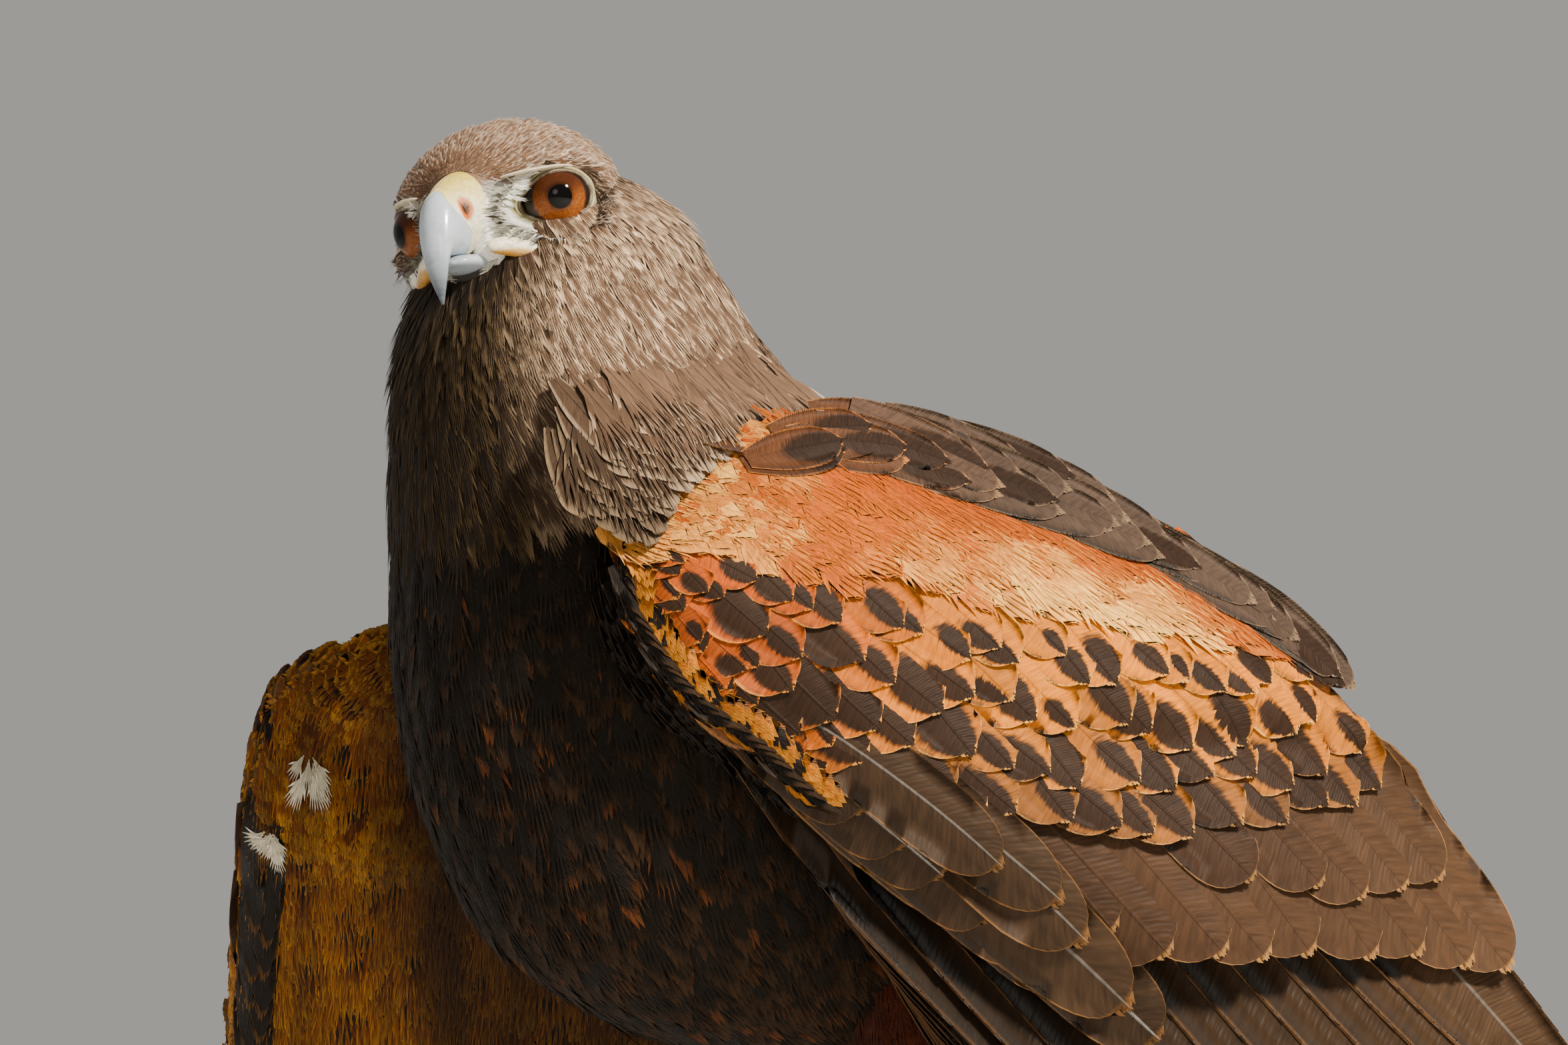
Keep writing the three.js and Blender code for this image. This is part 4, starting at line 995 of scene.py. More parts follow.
# %% [markdown]
# Each wing is laid on a curved sheet. One number runs back along the forearm from the wrist, the
# next runs down across the wing, and the third is the height above the sheet. The places of all
# flight feathers and coverts are given on it. The left wing is folded. The right one is opened by
# turning its feathers about the wrist and about their own roots.

# %% The sheet of a wing
def mix(a, b, t):
    return a + (b - a) * t

def wing_sheet(side):
    pose = WING_POSE[side]
    sign = 1 if side == "left" else -1
    out, drop, lean = [math.radians(pose[key]) for key in ("out", "drop", "lean")]
    along = np.array([sign * math.sin(out) * math.cos(drop), math.cos(out) * math.cos(drop), -math.sin(drop)])
    flat = np.array([sign * math.cos(out), -math.sin(out), 0.0])
    down = np.cross(along, flat) * sign
    outward = flat * math.cos(lean) - down * math.sin(lean)
    across = np.cross(outward, along)
    wrist = np.array(pose["wrist"], float)

    def place(a, b, h):
        radius = mix(pose["curve"][0], pose["curve"][1], np.clip((a - 60) / 160, 0, 1))
        fold = (b + 5) ** 2 / (2 * radius) / (1 + np.abs(b) / 120)
        tuck = np.maximum(a - 90, 0) ** 2 / 3000
        high = h - fold - tuck
        return wrist + a[..., None] * along - sign * b[..., None] * across + high[..., None] * outward
    return place

def opened(side, order, centre, point):
    """A place on the sheet, turned about another by the opening of the wing."""
    pose = WING_POSE[side]
    angle = np.radians(mix(pose["open_outer"], pose["open_inner"], np.asarray(order, float)))
    a = point[..., 0] - centre[..., 0]
    b = point[..., 1] - centre[..., 1]
    along = a * np.cos(angle) - b * np.sin(angle)
    across = a * np.sin(angle) + b * np.cos(angle)
    return centre + np.stack([along, across], -1)

WRIST = np.zeros((1, 2))
HAND_ORDER = 0.1

def on_line(points, spacing, jitter=0.25):
    """Places along a bent line, evenly spaced, with their share of its length."""
    points = np.asarray(points, float)
    steps = np.concatenate([[0], np.cumsum(np.linalg.norm(np.diff(points, axis=0), axis=-1))])
    count = max(int(round(steps[-1] / spacing)), 2)
    at = (np.arange(count) + 0.5 + chance.uniform(-jitter, jitter, count)) / count * steps[-1]
    places = np.stack([np.interp(at, steps, points[:, n]) for n in (0, 1)], -1)
    return places, at / steps[-1]

# %% [markdown]
# The coverts lie in steps, so the top of the wing is a smooth slope: high over the forearm, and
# falling to the leading edge, where the last small feathers roll round it. The slope is measured
# by the distance from that edge, and every covert's root and tip take their height from it.

# %% Top of the coverts
ARM_ROWS = [
    [-2, 2, -4, 4, 4], [7, 0, -2.5, 13.5, 8.5], [34, -14, -0.5, 29, 10.5], [75, -24, 2.5, 31, 10.5],
    [115, -29, 5.5, 25, 9], [145, -31, 8, 14, 6], [163, -31, 9, 4, 2.5],
]
HAND_ROWS = [
    [2, 4, -14.5, 4, 3.5], [18, 10, -16, 7, 5.6], [44, 21, -16.6, 6.5, 5.6], [72, 32, -18, 4.5, 4.2],
    [82, 36, -18.5, 2, 2],
]
WING_EDGE = np.array([
    [13, -60], [7, -34], [2, -18], [-0.5, -8], [-2.5, -1], [0.5, 7.5], [6, 13.5], [20, 22], [38, 26.5],
    [48, 30.5], [63, 35.5], [84, 42], [105, 46], [134, 51], [180, 66], [240, 92],
], float)

EDGE_LINE = through(WING_EDGE, np.linspace(0, 1, 300))

def beside_edge(points, line=EDGE_LINE):
    """Distance from a leading edge, negative beyond it, and the edge's direction in degrees."""
    ways = unit(np.gradient(line, axis=0))
    away = points[:, None] - line[None]
    nearest = np.argmin(np.linalg.norm(away, axis=-1), axis=1)
    away = away[np.arange(len(points)), nearest]
    way = ways[nearest]
    beyond = way[:, 0] * away[:, 1] - way[:, 1] * away[:, 0] > 0
    distance = np.linalg.norm(away, axis=-1) * np.where(beyond, -1, 1)
    return distance, np.degrees(np.arctan2(way[:, 1], way[:, 0]))

def edge_rows(line, insets, spacing):
    """Places in rows that follow an edge, each row further in from it."""
    inward = unit(np.gradient(line, axis=0)) @ np.array([[0, -1], [1, 0]])
    return np.concatenate([on_line(line + inward * inset, spacing, 0.35)[0] for inset in insets])

def arm_top(points):
    """Height of the forearm's flesh, where it lies under the coverts."""
    t = np.linspace(0, 1, 200)
    rows = through(ARM_ROWS, t)
    middle_b, middle_h, half_b, half_h = [np.interp(points[:, 0], rows[:, 0], row) for row in rows.T[1:]]
    off = np.clip((points[:, 1] - middle_b) / np.maximum(half_b, 1), -1, 1)
    return np.where(np.abs(off) < 1, middle_h + half_h * np.sqrt(1 - off ** 2), -30)

def covert_top(points):
    inside = beside_edge(points)[0]
    behind = np.clip((points[:, 0] - 150) / 60, 0, 1)
    slope = 10.0 - 3.5 * behind - 9.0 * np.exp(-np.maximum(inside, -2) / 9)
    arm = arm_top(points) + 0.6
    high, low = np.maximum(slope, arm), np.minimum(slope, arm)
    return high + 1.2 * np.exp(-(high - low) / 2.0)

TOP_STEP = 2.0
TOP_START = np.array([-60.0, -140.0])
TOP_SIZE = (200, 150)

def gridded(height):
    """The same height, read from a grid, so it can be asked for at every point of every feather."""
    steps = [start + TOP_STEP * np.arange(size) for start, size in zip(TOP_START, TOP_SIZE)]
    grid = np.stack(np.meshgrid(*steps, indexing="ij"), -1).reshape(-1, 2)
    grid = height(grid).reshape(TOP_SIZE)

    def height_at(a, b):
        at_a = np.clip((a - TOP_START[0]) / TOP_STEP, 0, TOP_SIZE[0] - 1.001)
        at_b = np.clip((b - TOP_START[1]) / TOP_STEP, 0, TOP_SIZE[1] - 1.001)
        i, j = at_a.astype(int), at_b.astype(int)
        f, g = at_a - i, at_b - j
        near = grid[i, j] * (1 - g) + grid[i, j + 1] * g
        far = grid[i + 1, j] * (1 - g) + grid[i + 1, j + 1] * g
        return near * (1 - f) + far * f
    return height_at

top_at = gridded(covert_top)

# %% [markdown]
# The flesh of a wing never shows, but light would leak through a wing made of vanes alone. So a
# plain arm and hand lie under the coverts, in the same place as in the solids.

# %% Arm and hand
UNDER_WING = linear("5b3413")
FLESH_INSET = 2.5

def limb_surface(side, rows, order):
    place = wing_sheet(side)

    def surface(t, turn):
        row = through(rows, t)
        a, b, h, half_b, half_h = [row[..., n] for n in range(5)]
        flat = np.stack([a, b + (half_b - FLESH_INSET) * np.cos(turn)], -1)
        shape = flat.shape
        flat = flat.reshape(-1, 2)
        if order is not None:
            flat = opened(side, np.full(len(flat), order), WRIST, flat)
        flat = flat.reshape(shape)
        return place(flat[..., 0], flat[..., 1], h + (half_h - FLESH_INSET) * np.sin(turn))
    return surface

limb_finish, n, shader = new_finish("wing skin", 0.7)
down = n.noise(n.coordinates(), 900, 4.0)
ground = n.attribute("ground")["Color"]
shaded = n.mix(0.5, ground, (0.01, 0.008, 0.006, 1))
n.put(n.mix(n.ramp(down, 0.35, 0.7), shaded, ground), shader.inputs["Base Color"])
bump(n, shader, down, 0.0004)

# %% Flight feathers
SECONDARY_TIPS = [[222, 94], [250, 90], [270, 80], [276, 58], [256, 30]]
PRIMARY_REACH = [[0.82], [0.93], [0.985], [1], [0.985], [0.93], [0.87], [0.82], [0.78], [0.75]]
DARK = linear("1f140a")
DARK_EDGE = linear("452c14")
LAYER = 1.05
QUILLS = 10
PRIMARY_LEVELS = -21 + LAYER * np.arange(QUILLS)
SECONDARY_LEVELS = -9.45 + LAYER * np.arange(QUILLS)

def lay_flight(side, feathers):
    """Roots, tips and levels of the ten primaries and ten secondaries, outermost first."""
    place = wing_sheet(side)
    t = np.arange(QUILLS) / (QUILLS - 1)
    roots = opened(side, np.full(QUILLS, HAND_ORDER), WRIST, np.stack([mix(64, 16, t), mix(28.5, 9, t)], -1))
    angle = np.radians(mix(28, 23, t))
    reach = WING_CHORD * through(PRIMARY_REACH, t)[:, 0]
    folded = np.stack([reach * np.cos(angle), reach * np.sin(angle)], -1)
    tips = opened(side, mix(0, 0.3, t), WRIST, folded)
    tone = chance.uniform(0.88, 1.12, QUILLS)
    paint = look(DARK, DARK_EDGE, DARK * 0.6, (0.07, 0.0, 0.62, 0.0), tone)
    spots = np.stack([t * 0.4 + 0.05, np.full(QUILLS, 0.2)], -1)
    feathers.on_sheet(place, roots, tips, mix(21, 27, t), PRIMARY_LEVELS, PRIMARY_LEVELS, paint, spots,
                      bow=WING_POSE[side]["bow"], arch=0.03, shaft=0.25)
    outer = (roots, tips)
    roots = np.stack([mix(20, 118, t), mix(-3, -40, t)], -1)
    folded = through(SECONDARY_TIPS, t)
    tips = opened(side, mix(0.36, 1, t), roots, folded)
    ground = blend(t ** 2, DARK, linear("3c2a1a"))
    edge = blend(t ** 2, DARK_EDGE, linear("6a4a2c"))
    paint = look(ground, edge, DARK * 0.6, (0.06, 0.0, 0.6, 0.0), tone)
    spots = np.stack([t * 0.4 + 0.5, np.full(QUILLS, 0.2)], -1)
    feathers.on_sheet(place, roots, tips, 32, SECONDARY_LEVELS, SECONDARY_LEVELS, paint, spots,
                      bow=3.0, arch=0.03, shaft=0.25)
    return outer, (roots, tips)

flight_lines = {}
for side, _ in SIDES:
    flight = Feathers(LONG)
    flight_lines[side] = lay_flight(side, flight)
    flight_piece = flight.piece("flight_feathers_" + side, FLIGHT_FEATHER, face_away=side == "right")
    place_piece(thickened(flight_piece), "flight_feathers")

# %% [markdown]
# A wing's coverts come in ranks. The greater ones lie on the flight feathers' roots, the median
# ones on them, and the lesser ones run up to the shoulder in many short rows. On this bird the
# lesser and median coverts make a rufous patch, the median ones with dark hearts.

# %% Covert colours
LESSER = linear("a84c00")
LESSER_TIP = linear("b85c06")
RUST = linear("984000")
PALE_LESSER = linear("f2ba5c")
MEDIAN = linear("a04400")
MEDIAN_TIP = linear("be7018")
GOLD_MEDIAN = linear("c87208")
GOLD_TIP = linear("de9a3c")
HEART = linear("2a1a0f")
GREATER = linear("46301e")
GREATER_TIP = linear("94693a")
ALULA = linear("38281a")
ALULA_TIP = linear("6a4824")
GOLDEN = linear("a45c08")
BLACKISH = linear("17100b")

HAND_DROP = 8.0

def rank(side, feathers, tips, length, width, turn, paint, raised, hand=False, bow=0.0, arch=0.07, deep=2.2,
         shaft=0.0):
    """Coverts whose tips are given on the folded sheet. They lie on the slope of the wing's top."""
    count = len(tips)
    length = np.broadcast_to(length, (count,))
    angle = np.radians(np.broadcast_to(turn, (count,)))
    roots = roots_of(tips, length, angle)
    spots = np.clip(np.stack([(tips[:, 0] + 20) / 320, (tips[:, 1] + 75) / 180], -1), 0.02, 0.98)
    sheet = wing_sheet(side)
    raised = np.asarray(raised, float)
    order = HAND_ORDER if hand else mix(0.4, 1, np.clip((roots[:, :1] - 10) / 150, 0, 1))
    centre = WRIST if hand else roots[:, None]

    def on_slope(a, b, h):
        high = h + top_at(a, b)
        if side == "left":
            return sheet(a, b, high)
        point = opened(side, order, centre, np.stack([a, b], -1))
        return sheet(point[..., 0], point[..., 1], high - (HAND_DROP if hand else 0))
    feathers.on_sheet(on_slope, roots, tips, width, raised - deep, raised, paint, spots,
                      bow=bow, arch=arch, shaft=shaft)

def dark_line(a):
    """Where feathers with dark hearts begin, below the plain rufous ones."""
    return np.interp(a, [5, 20, 36, 56, 83, 98, 122, 152], [-2, -8, -8, -16, -20, -23, -31, -40])

def scapular_line(a):
    """Where the scapulars end over the rufous patch."""
    return np.interp(a, [2, 14, 30, 43, 56, 73, 93, 110, 124, 139, 154, 167, 177, 190],
                     [-20, -30, -42, -48, -47.5, -49, -53, -52, -51.5, -50, -44, -39, -32, -20])

def lesser_field(row_gap, feather_gap):
    """Tips of the small rufous coverts, in staggered rows from the wrist to the shoulder."""
    tips = []
    rows = np.arange(-12, 172, row_gap)
    for k, a in enumerate(rows):
        across = np.arange(-74, 46, feather_gap) + (k % 2) * feather_gap / 2
        spots = np.stack([np.full(len(across), a), across], -1)
        tips.append(spots + chance.uniform(-0.8, 0.8, spots.shape) * [row_gap, feather_gap])
    return np.concatenate(tips)

for side, _ in SIDES:
    coverts = Feathers(LARGE)
    medians = Feathers(BROAD)
    small = Feathers(MIDDLE)
    loose = Feathers(WISP)
    fine = Feathers(SMALL)
    # Greater coverts of the hand, over the primaries' roots
    for line, length, width, raised in (
        ([[152, 55], [124, 47], [98, 38], [76, 31], [56, 24]], 66, 17, -2.5),
        ([[128, 51], [104, 45], [80, 38], [58, 31]], 44, 14, -1.2),
    ):
        tips, _ = on_line(line, 13, 0.15)
        paint = look(ALULA * 0.75, ALULA_TIP * 0.8, HEART, (0.05, 0.0, 0.7, 0.0),
                     chance.uniform(0.85, 1.15, len(tips)))
        rank(side, coverts, tips, length, width, 19, paint, raised, hand=True, shaft=0.2)
    # Greater coverts of the arm, the inner ones brown with thin buff edges
    for line, length, width, turn, raised in (
        ([[80, 34], [108, 38], [138, 36], [166, 27], [190, 19], [211, 11], [229, 3]],
         (58, 84), (22, 25), (22, 33), -2.2),
        ([[150, 16], [176, 8], [194, -2], [206, -10]], (50, 60), (20, 22), (25, 32), -0.8),
    ):
        tips, t = on_line(line, 13.0, 0.15)
        count = len(tips)
        paint = look(blend(t, HEART * 1.3, GREATER), blend(t, GREATER_TIP * 0.7, GREATER_TIP), HEART,
                     (0.035, 0.0, 0.5, 0.0), chance.uniform(0.85, 1.15, count))
        tips = tips + chance.uniform(-2.5, 2.5, tips.shape)
        turn = mix(*turn, t) + chance.normal(0, 2, count)
        rank(side, coverts, tips, mix(*length, t), mix(*width, t), turn, paint, raised, shaft=0.15)
    # The thumb's feathers and the big coverts beside it, on the leading edge
    tips = np.array([[112, 38], [137, 51], [121, 43], [96, 36]], float)
    paint = look(ALULA, ALULA_TIP, HEART, (0.05, 0.0, 0.62, 0.0), np.array([0.9, 1.05, 1.0, 0.85]))
    rank(side, coverts, tips, [84, 98, 90, 66], [17, 19, 18, 15], [15, 16, 17, 16], paint,
         [2.0, 0.6, 1.4, 2.4], hand=True, bow=-1.5, shaft=0.3, deep=4.5)
    # Median coverts: large, uneven, rufous with a dark heart on one side of the shaft
    for line, length, width, raised, heart, reds in (
        ([[-0.5, -6], [-1.5, 0], [2, 7], [8, 13], [20, 20.5], [38, 25], [52, 30]], 15, 10, -0.7, 0.45, 1.0),
        ([[1, 1], [6, 8], [13, 13.5], [24, 19], [38, 23], [50, 27]], 17, 11, -0.3, 0.45, 1.0),
        ([[4, 2], [11, 8], [22, 14], [34, 18]], 17, 11.5, 0.2, 0.45, 1.0),
        ([[3, -3], [9, 2], [18, 8]], 16, 11, 0.6, 0.4, 1.0),
        ([[42, 25], [66, 27], [94, 25], [116, 20], [140, 9], [160, -2], [174, -14], [182, -26]],
         34, 19, 0.0, 0.74, 0.3),
        ([[34, 17], [56, 18], [80, 15], [104, 12], [128, 4], [150, -7], [166, -18], [174, -28]],
         31, 18, 0.5, 0.68, 0.65),
        ([[26, 7], [46, 8], [66, 8], [88, 2], [110, -3], [132, -9], [150, -17], [165, -29]],
         28, 17, 0.9, 0.6, 0.9),
        ([[17, -1], [36, -2], [58, -3], [83, -8], [104, -13], [128, -21], [148, -31], [158, -38]],
         24, 15, 1.3, 0.5, 1.0),
    ):
        if side == "right" and length < 20:
            continue
        tips, t = on_line(line, width * 0.55, 0.35)
        count = len(tips)
        tips = tips + chance.uniform(-2.6, 2.6, tips.shape)
        redness = np.clip(reds + chance.normal(0, 0.16, count), 0, 1)
        golden = soft_step(tips[:, 0], 30, 95)
        ground = blend(redness, GREATER * 1.1, blend(golden, MEDIAN, GOLD_MEDIAN))
        fringe = blend(redness, GREATER_TIP, blend(golden, MEDIAN_TIP, GOLD_TIP))
        tone = chance.uniform(0.85, 1.15, count)
        form = np.tile([[0.09, heart, 0.35, 0.0]], (count, 1))
        form[:, 0] *= chance.uniform(0.5, 1.2, count)
        form[:, 1] *= chance.uniform(0.5, 1.1, count) * mix(1.25, 0.95, golden)
        form[:, 3] = chance.uniform(-0.25, 0.5, count)
        paint = look(ground, fringe, HEART, form, tone)
        near_wrist = 1 - soft_step(tips[:, 0], 15, 50)
        size = chance.uniform(0.85, 1.12, count) * (1 - (0.25 if length > 20 else 0.1) * near_wrist)
        inset, heading = beside_edge(tips)
        turn = mix(np.minimum(heading, 70), mix(22, 31, t), soft_step(inset, 1, 12))
        rank(side, medians, tips, length * size, width * size, turn + chance.normal(0, 5, count), paint,
             raised + chance.uniform(-0.2, 0.2, count), arch=0.07, deep=1.8)
    # Lesser coverts, plain rufous, in short close rows
    tips = lesser_field(3.0, 3.3)
    inside = beside_edge(tips)[0]
    limit = dark_line(tips[:, 0]) + chance.normal(0, 1.8, len(tips))
    keep = (tips[:, 1] < limit) & (inside > (1.0 if side == "left" else 9)) & (tips[:, 0] < 168)
    keep = keep & (tips[:, 1] > scapular_line(tips[:, 0]) + 0.5)
    tips = tips[keep]
    count = len(tips)
    depth = tips[:, 1] - scapular_line(tips[:, 0])
    rust = 1 - soft_step(depth, 6, 26)
    pale = soft_step(tips[:, 0], 40, 120) * soft_step(depth, 8, 32) + 0.4 * (1 - soft_step(tips[:, 0], 0, 40))
    pale = np.clip(pale + chance.normal(0, 0.16, count) * (pale > 0.03), 0, 1)
    for shape_set, size, lift in ((small, 1.0, 1.0), (loose, 1.2, 1.25)):
        shade = chance.uniform(0.9, 1.1, count)
        ground = blend(pale, blend(rust, LESSER, RUST), PALE_LESSER)
        fringe = blend(pale, blend(rust, LESSER_TIP, LESSER), PALE_LESSER * 1.2)
        # On the right wing the lesser coverts are darkened to 0.55: painted shade, as that wing is held in
        # shade.
        shade = shade * (1.0 if side == "left" else 0.55)
        paint = look(ground, fringe, HEART, (0.5, 0.0, 0.42, 0.0), shade)
        length = (15.5 + 5.5 * soft_step(tips[:, 0], 40, 150)) * size * chance.uniform(0.85, 1.15, count)
        rank(side, shape_set, tips, length, 7.6 * size * (1 + 0.25 * soft_step(tips[:, 0], 40, 150)),
             20 + chance.normal(0, 8, count), paint, lift + chance.uniform(-0.12, 0.12, count),
             arch=0.02, deep=0.7)
    # Marginal coverts, golden with black spots, and the breast's dark feathers that the edge lies in
    if side == "left":
        front = EDGE_LINE[(EDGE_LINE[:, 1] > -9) & (EDGE_LINE[:, 0] < 60)]
        tips = edge_rows(front, (-0.6, 0.8), 2.6)
        tips = tips + chance.uniform(-0.7, 0.7, tips.shape)
        heading = beside_edge(tips)[1]
        count = len(tips)
        at_top = 1 - soft_step(tips[:, 1], -12, 8)
        form = np.tile([[0.3, 0.0, 0.3, 0.0]], (count, 1))
        form[:, 1] = np.where(chance.random(count) < 0.15 * (1 - at_top), 0.85, 0.0)
        paint = look(blend(at_top, GOLDEN, LESSER), blend(at_top, linear("b47016"), LESSER_TIP), BLACKISH,
                     form, chance.uniform(0.72, 1.22, count))
        rank(side, fine, tips, mix(8.5, 9.5, at_top), mix(4.6, 5.0, at_top), np.minimum(heading, 82), paint,
             0.1 + chance.uniform(-0.1, 0.2, count), arch=0.05, deep=1.1)
        tucked = Feathers(SMALL)
        for k, level in enumerate(np.arange(-16, 1, 2.4)):
            tips = edge_rows(front, (1.4 - 0.2 * k,), 3.2)
            heading = np.radians(np.minimum(beside_edge(tips)[1], 82) + chance.normal(0, 5, len(tips)))
            starts = roots_of(tips, 14, heading)
            count = len(tips)
            paint = look(BREAST, BREAST_TIP, HEART, (0.3, 0.0, 0.3, 0.0),
                         chance.uniform(0.7, 1.3, count))
            spots = np.stack([np.linspace(0.05, 0.95, count), np.full(count, 0.1 + 0.1 * k)], -1)
            tucked.on_sheet(wing_sheet(side), starts, tips, 6.5, level - 1.5, level, paint, spots, arch=0.05)
        place_piece(tucked.piece("breast_laps_" + side, FINE_FEATHER), "body_plumage")
        place_piece(fine.piece("marginal_coverts_" + side, FINE_FEATHER), "rufous_plumage")
    for shape_set, name, finish in (
        (coverts, "wing_coverts_", COVERT_FEATHER), (medians, "median_coverts_", COVERT_FEATHER),
        (loose, "lesser_wisps_", SOFT_FEATHER), (small, "lesser_coverts_", SOFT_FEATHER),
    ):
        place_piece(shape_set.piece(name + side, finish, face_away=side == "right"), "rufous_plumage")
    arm = lofted("wing_flesh_" + side, limb_surface(side, ARM_ROWS, None), 24, 28)
    hand = lofted("wing hand " + side, limb_surface(side, HAND_ROWS, HAND_ORDER), 16, 20)
    arm = joined("wing_flesh_" + side, arm, hand)
    # The flesh takes the under-wing brown darkened by 0.7: painted shade, so that where it shows it reads as
    # shade.
    point_colours(arm, "ground", UNDER_WING * 0.7)
    arm.data.materials.append(limb_finish)
    place_piece(arm, "rufous_plumage", "wing_" + side, "wing_" + side + "_hand")

# %% [markdown]
# The left wing's lining is hardly seen: rows of under coverts over the roots of its flight feathers.

# %% Under coverts
LINING = linear("94560f")
LINING_TIP = linear("b07824")
RUSTY_LINING = linear("6a340a")

def place_lining(side, feathers, place, starts, tips, width, level_root, level_tip, shade):
    """Under coverts, as vanes with loose wisps over them: golden to rusty brown, a few blackish."""
    count = len(tips)
    dark = (chance.random(count) < 0.08)[:, None]
    ground = blend(chance.random(count), LINING, RUSTY_LINING)
    paint = look(np.where(dark, BLACKISH, ground), np.where(dark, RUSTY_LINING, LINING_TIP), BLACKISH,
                 (0.35, 0.0, 0.3, 0.0), chance.uniform(0.72, 1.3, count) * shade)
    spots = np.clip(np.stack([tips[:, 0] / 260 + 0.15, tips[:, 1] / 220 + 0.4], -1), 0.02, 0.98)
    for shape_set, lower in zip(feathers, (0.0, 0.6)):
        shape_set.on_sheet(place, starts, tips, width, level_root, level_tip - lower, paint, spots,
                           arch=-0.05)

def finish_lining(side, feathers):
    kinds = (("under_coverts_", SOFT_FEATHER), ("under_wisps_", FINE_FEATHER))
    for shape_set, (name, finish) in zip(feathers, kinds):
        place_piece(shape_set.piece(name + side, finish, face_away=side == "left"), "rufous_plumage")

(outer_roots, outer_tips), (inner_roots, inner_tips) = flight_lines["left"]
roots = np.concatenate([outer_roots, inner_roots])
ways = unit(np.concatenate([outer_tips - outer_roots, inner_tips - inner_roots]))
levels = np.concatenate([PRIMARY_LEVELS, SECONDARY_LEVELS])
share = np.arange(len(roots)) / (len(roots) - 1)
under = (Feathers(MIDDLE), Feathers(WISP))
rows = [(4, 10, 6), (8, 11, 6.5), (13, 12, 7), (18, 13, 7), (24, 15, 7.5), (31, 18, 7.5), (39, 21, 8),
        (48, 24, 8), (58, 27, 8.5), (70, 30, 9), (84, 34, 10)]
for k, (far, length, width) in enumerate(rows):
    count = int(150 / (width * 0.5))
    s = np.clip((np.arange(count) + 0.5 + chance.uniform(-0.3, 0.3, count)) / count, 0, 1)
    base = np.stack([np.interp(s, share, roots[:, n]) for n in (0, 1)], -1)
    way = unit(np.stack([np.interp(s, share, ways[:, n]) for n in (0, 1)], -1))
    level = np.interp(s, share, levels) - 3.0 + 0.12 * (len(rows) - k)
    tips = base + way * (far + chance.uniform(-1.5, 1.5, count) - 12)[:, None]
    place_lining("left", under, wing_sheet("left"), tips - way * length, tips, width, level + 2.0,
                 level - 0.4 * (len(rows) - k), np.ones(count))
finish_lining("left", under)

# %% [markdown]
# The drooped right wing shows its lining. Soft streaked feathers follow its front edge, turn down,
# and get longer toward the flight feathers. They lie on a smooth floor under the flesh of the wing,
# which rolls up at the edge. Two white tufts stand among them, and blackish feathers by the edge.

# %% Lining of the right wing
LINING_EDGE = through(np.array([
    [165, -46], [120, -54], [70, -60], [38, -60], [25, -55], [14.5, -46], [6.5, -38], [0.5, -30], [-3.5, -19],
    [-4, -7], [-2, 7], [2, 22], [8, 43], [18, 79], [29, 115],
], float), np.linspace(0, 1, 400))

def lining_floor(points):
    inside = beside_edge(points, LINING_EDGE)[0]
    hand = soft_step(points[:, 1], -24, 6) * (1 - soft_step(inside, 28, 72))
    return -11.5 - 13.0 * hand + 8.0 * np.exp(-np.maximum(inside, -3) / 5)

lining_at = gridded(lining_floor)

def on_lining(a, b, h):
    return wing_sheet("right")(a, b, h + lining_at(a, b))

under = (Feathers(MIDDLE), Feathers(WISP))
tips = []
for k, b in enumerate(np.arange(-76, 112, 3.6)):
    a = np.arange(-14, 150, 3.5) + 1.75 * (k % 2)
    tips.append(np.stack([a, np.full(len(a), b)], -1))
tips = np.concatenate(tips)
tips = tips + chance.uniform(-1.3, 1.3, tips.shape)
inside = beside_edge(tips, LINING_EDGE)[0]
tips = tips[(inside > 1.5) & (tips[:, 1] < 108 - 0.45 * tips[:, 0])]
tips = np.concatenate([tips, edge_rows(LINING_EDGE, (-0.9, 0.4, 1.8), 2.8)])
count = len(tips)
inside, along_edge = beside_edge(tips, LINING_EDGE)
follows = np.exp(-np.maximum(inside, 0) / 11) * (1 - soft_step(tips[:, 1], -34, 4))
heading = np.radians(mix(72.0, along_edge, follows) + chance.normal(0, 5, count))
by_edge = np.exp(-np.maximum(inside, 0) / 4)
length = mix(15 + 18 * soft_step(tips[:, 1], -40, 50), 11.0, by_edge) * chance.uniform(0.8, 1.2, count)
length = np.where(tips[:, 1] < 10, np.minimum(length, 7.5 + 1.1 * np.maximum(inside, 0)), length)
width = mix(6.6 + 3 * soft_step(tips[:, 1], -10, 70), 4.6, by_edge)
starts = roots_of(tips, length, heading)
low = soft_step(tips[:, 1], 10, 80)
lanes = np.interp(tips[:, 0] - tips[:, 1] / 3, np.arange(-60, 200, 4.5), chance.uniform(0.5, 1.3, 58))
# Besides its random lanes, the lining is darkened overall and most toward the body: painted shade, where the
# breast's shadow falls on the drooped wing.
shade = lanes * (0.7 - 0.52 * soft_step(tips[:, 0] * 6 - tips[:, 1] * 2 - 90 * low, 80, 240))
rolled = np.where(inside < -0.2, 2.4, 0.0)
place_lining("right", under, on_lining, starts, tips, width, 0.9 + rolled, -0.5 + rolled, shade)
for a, b in ((3.8, -15.0), (1.4, 4.0)):
    count = 11
    starts = np.array([a, b]) + chance.uniform(-1.6, 1.6, (count, 2))
    heading = np.radians(chance.uniform(35, 110, count))
    tips = starts + chance.uniform(5, 9.5, count)[:, None] * np.stack([np.cos(heading), np.sin(heading)], -1)
    paint = look(linear("c9bfa6"), linear("f2ecdc"), BLACKISH, (0.4, 0.0, 0.6, 0.0),
                 chance.uniform(0.7, 1.1, count))
    under[1].on_sheet(on_lining, starts, tips, 3.2, -0.8, -2.4, paint, starts / 260 + 0.4, arch=-0.05)
low_edge = LINING_EDGE[LINING_EDGE[:, 1] > 30]
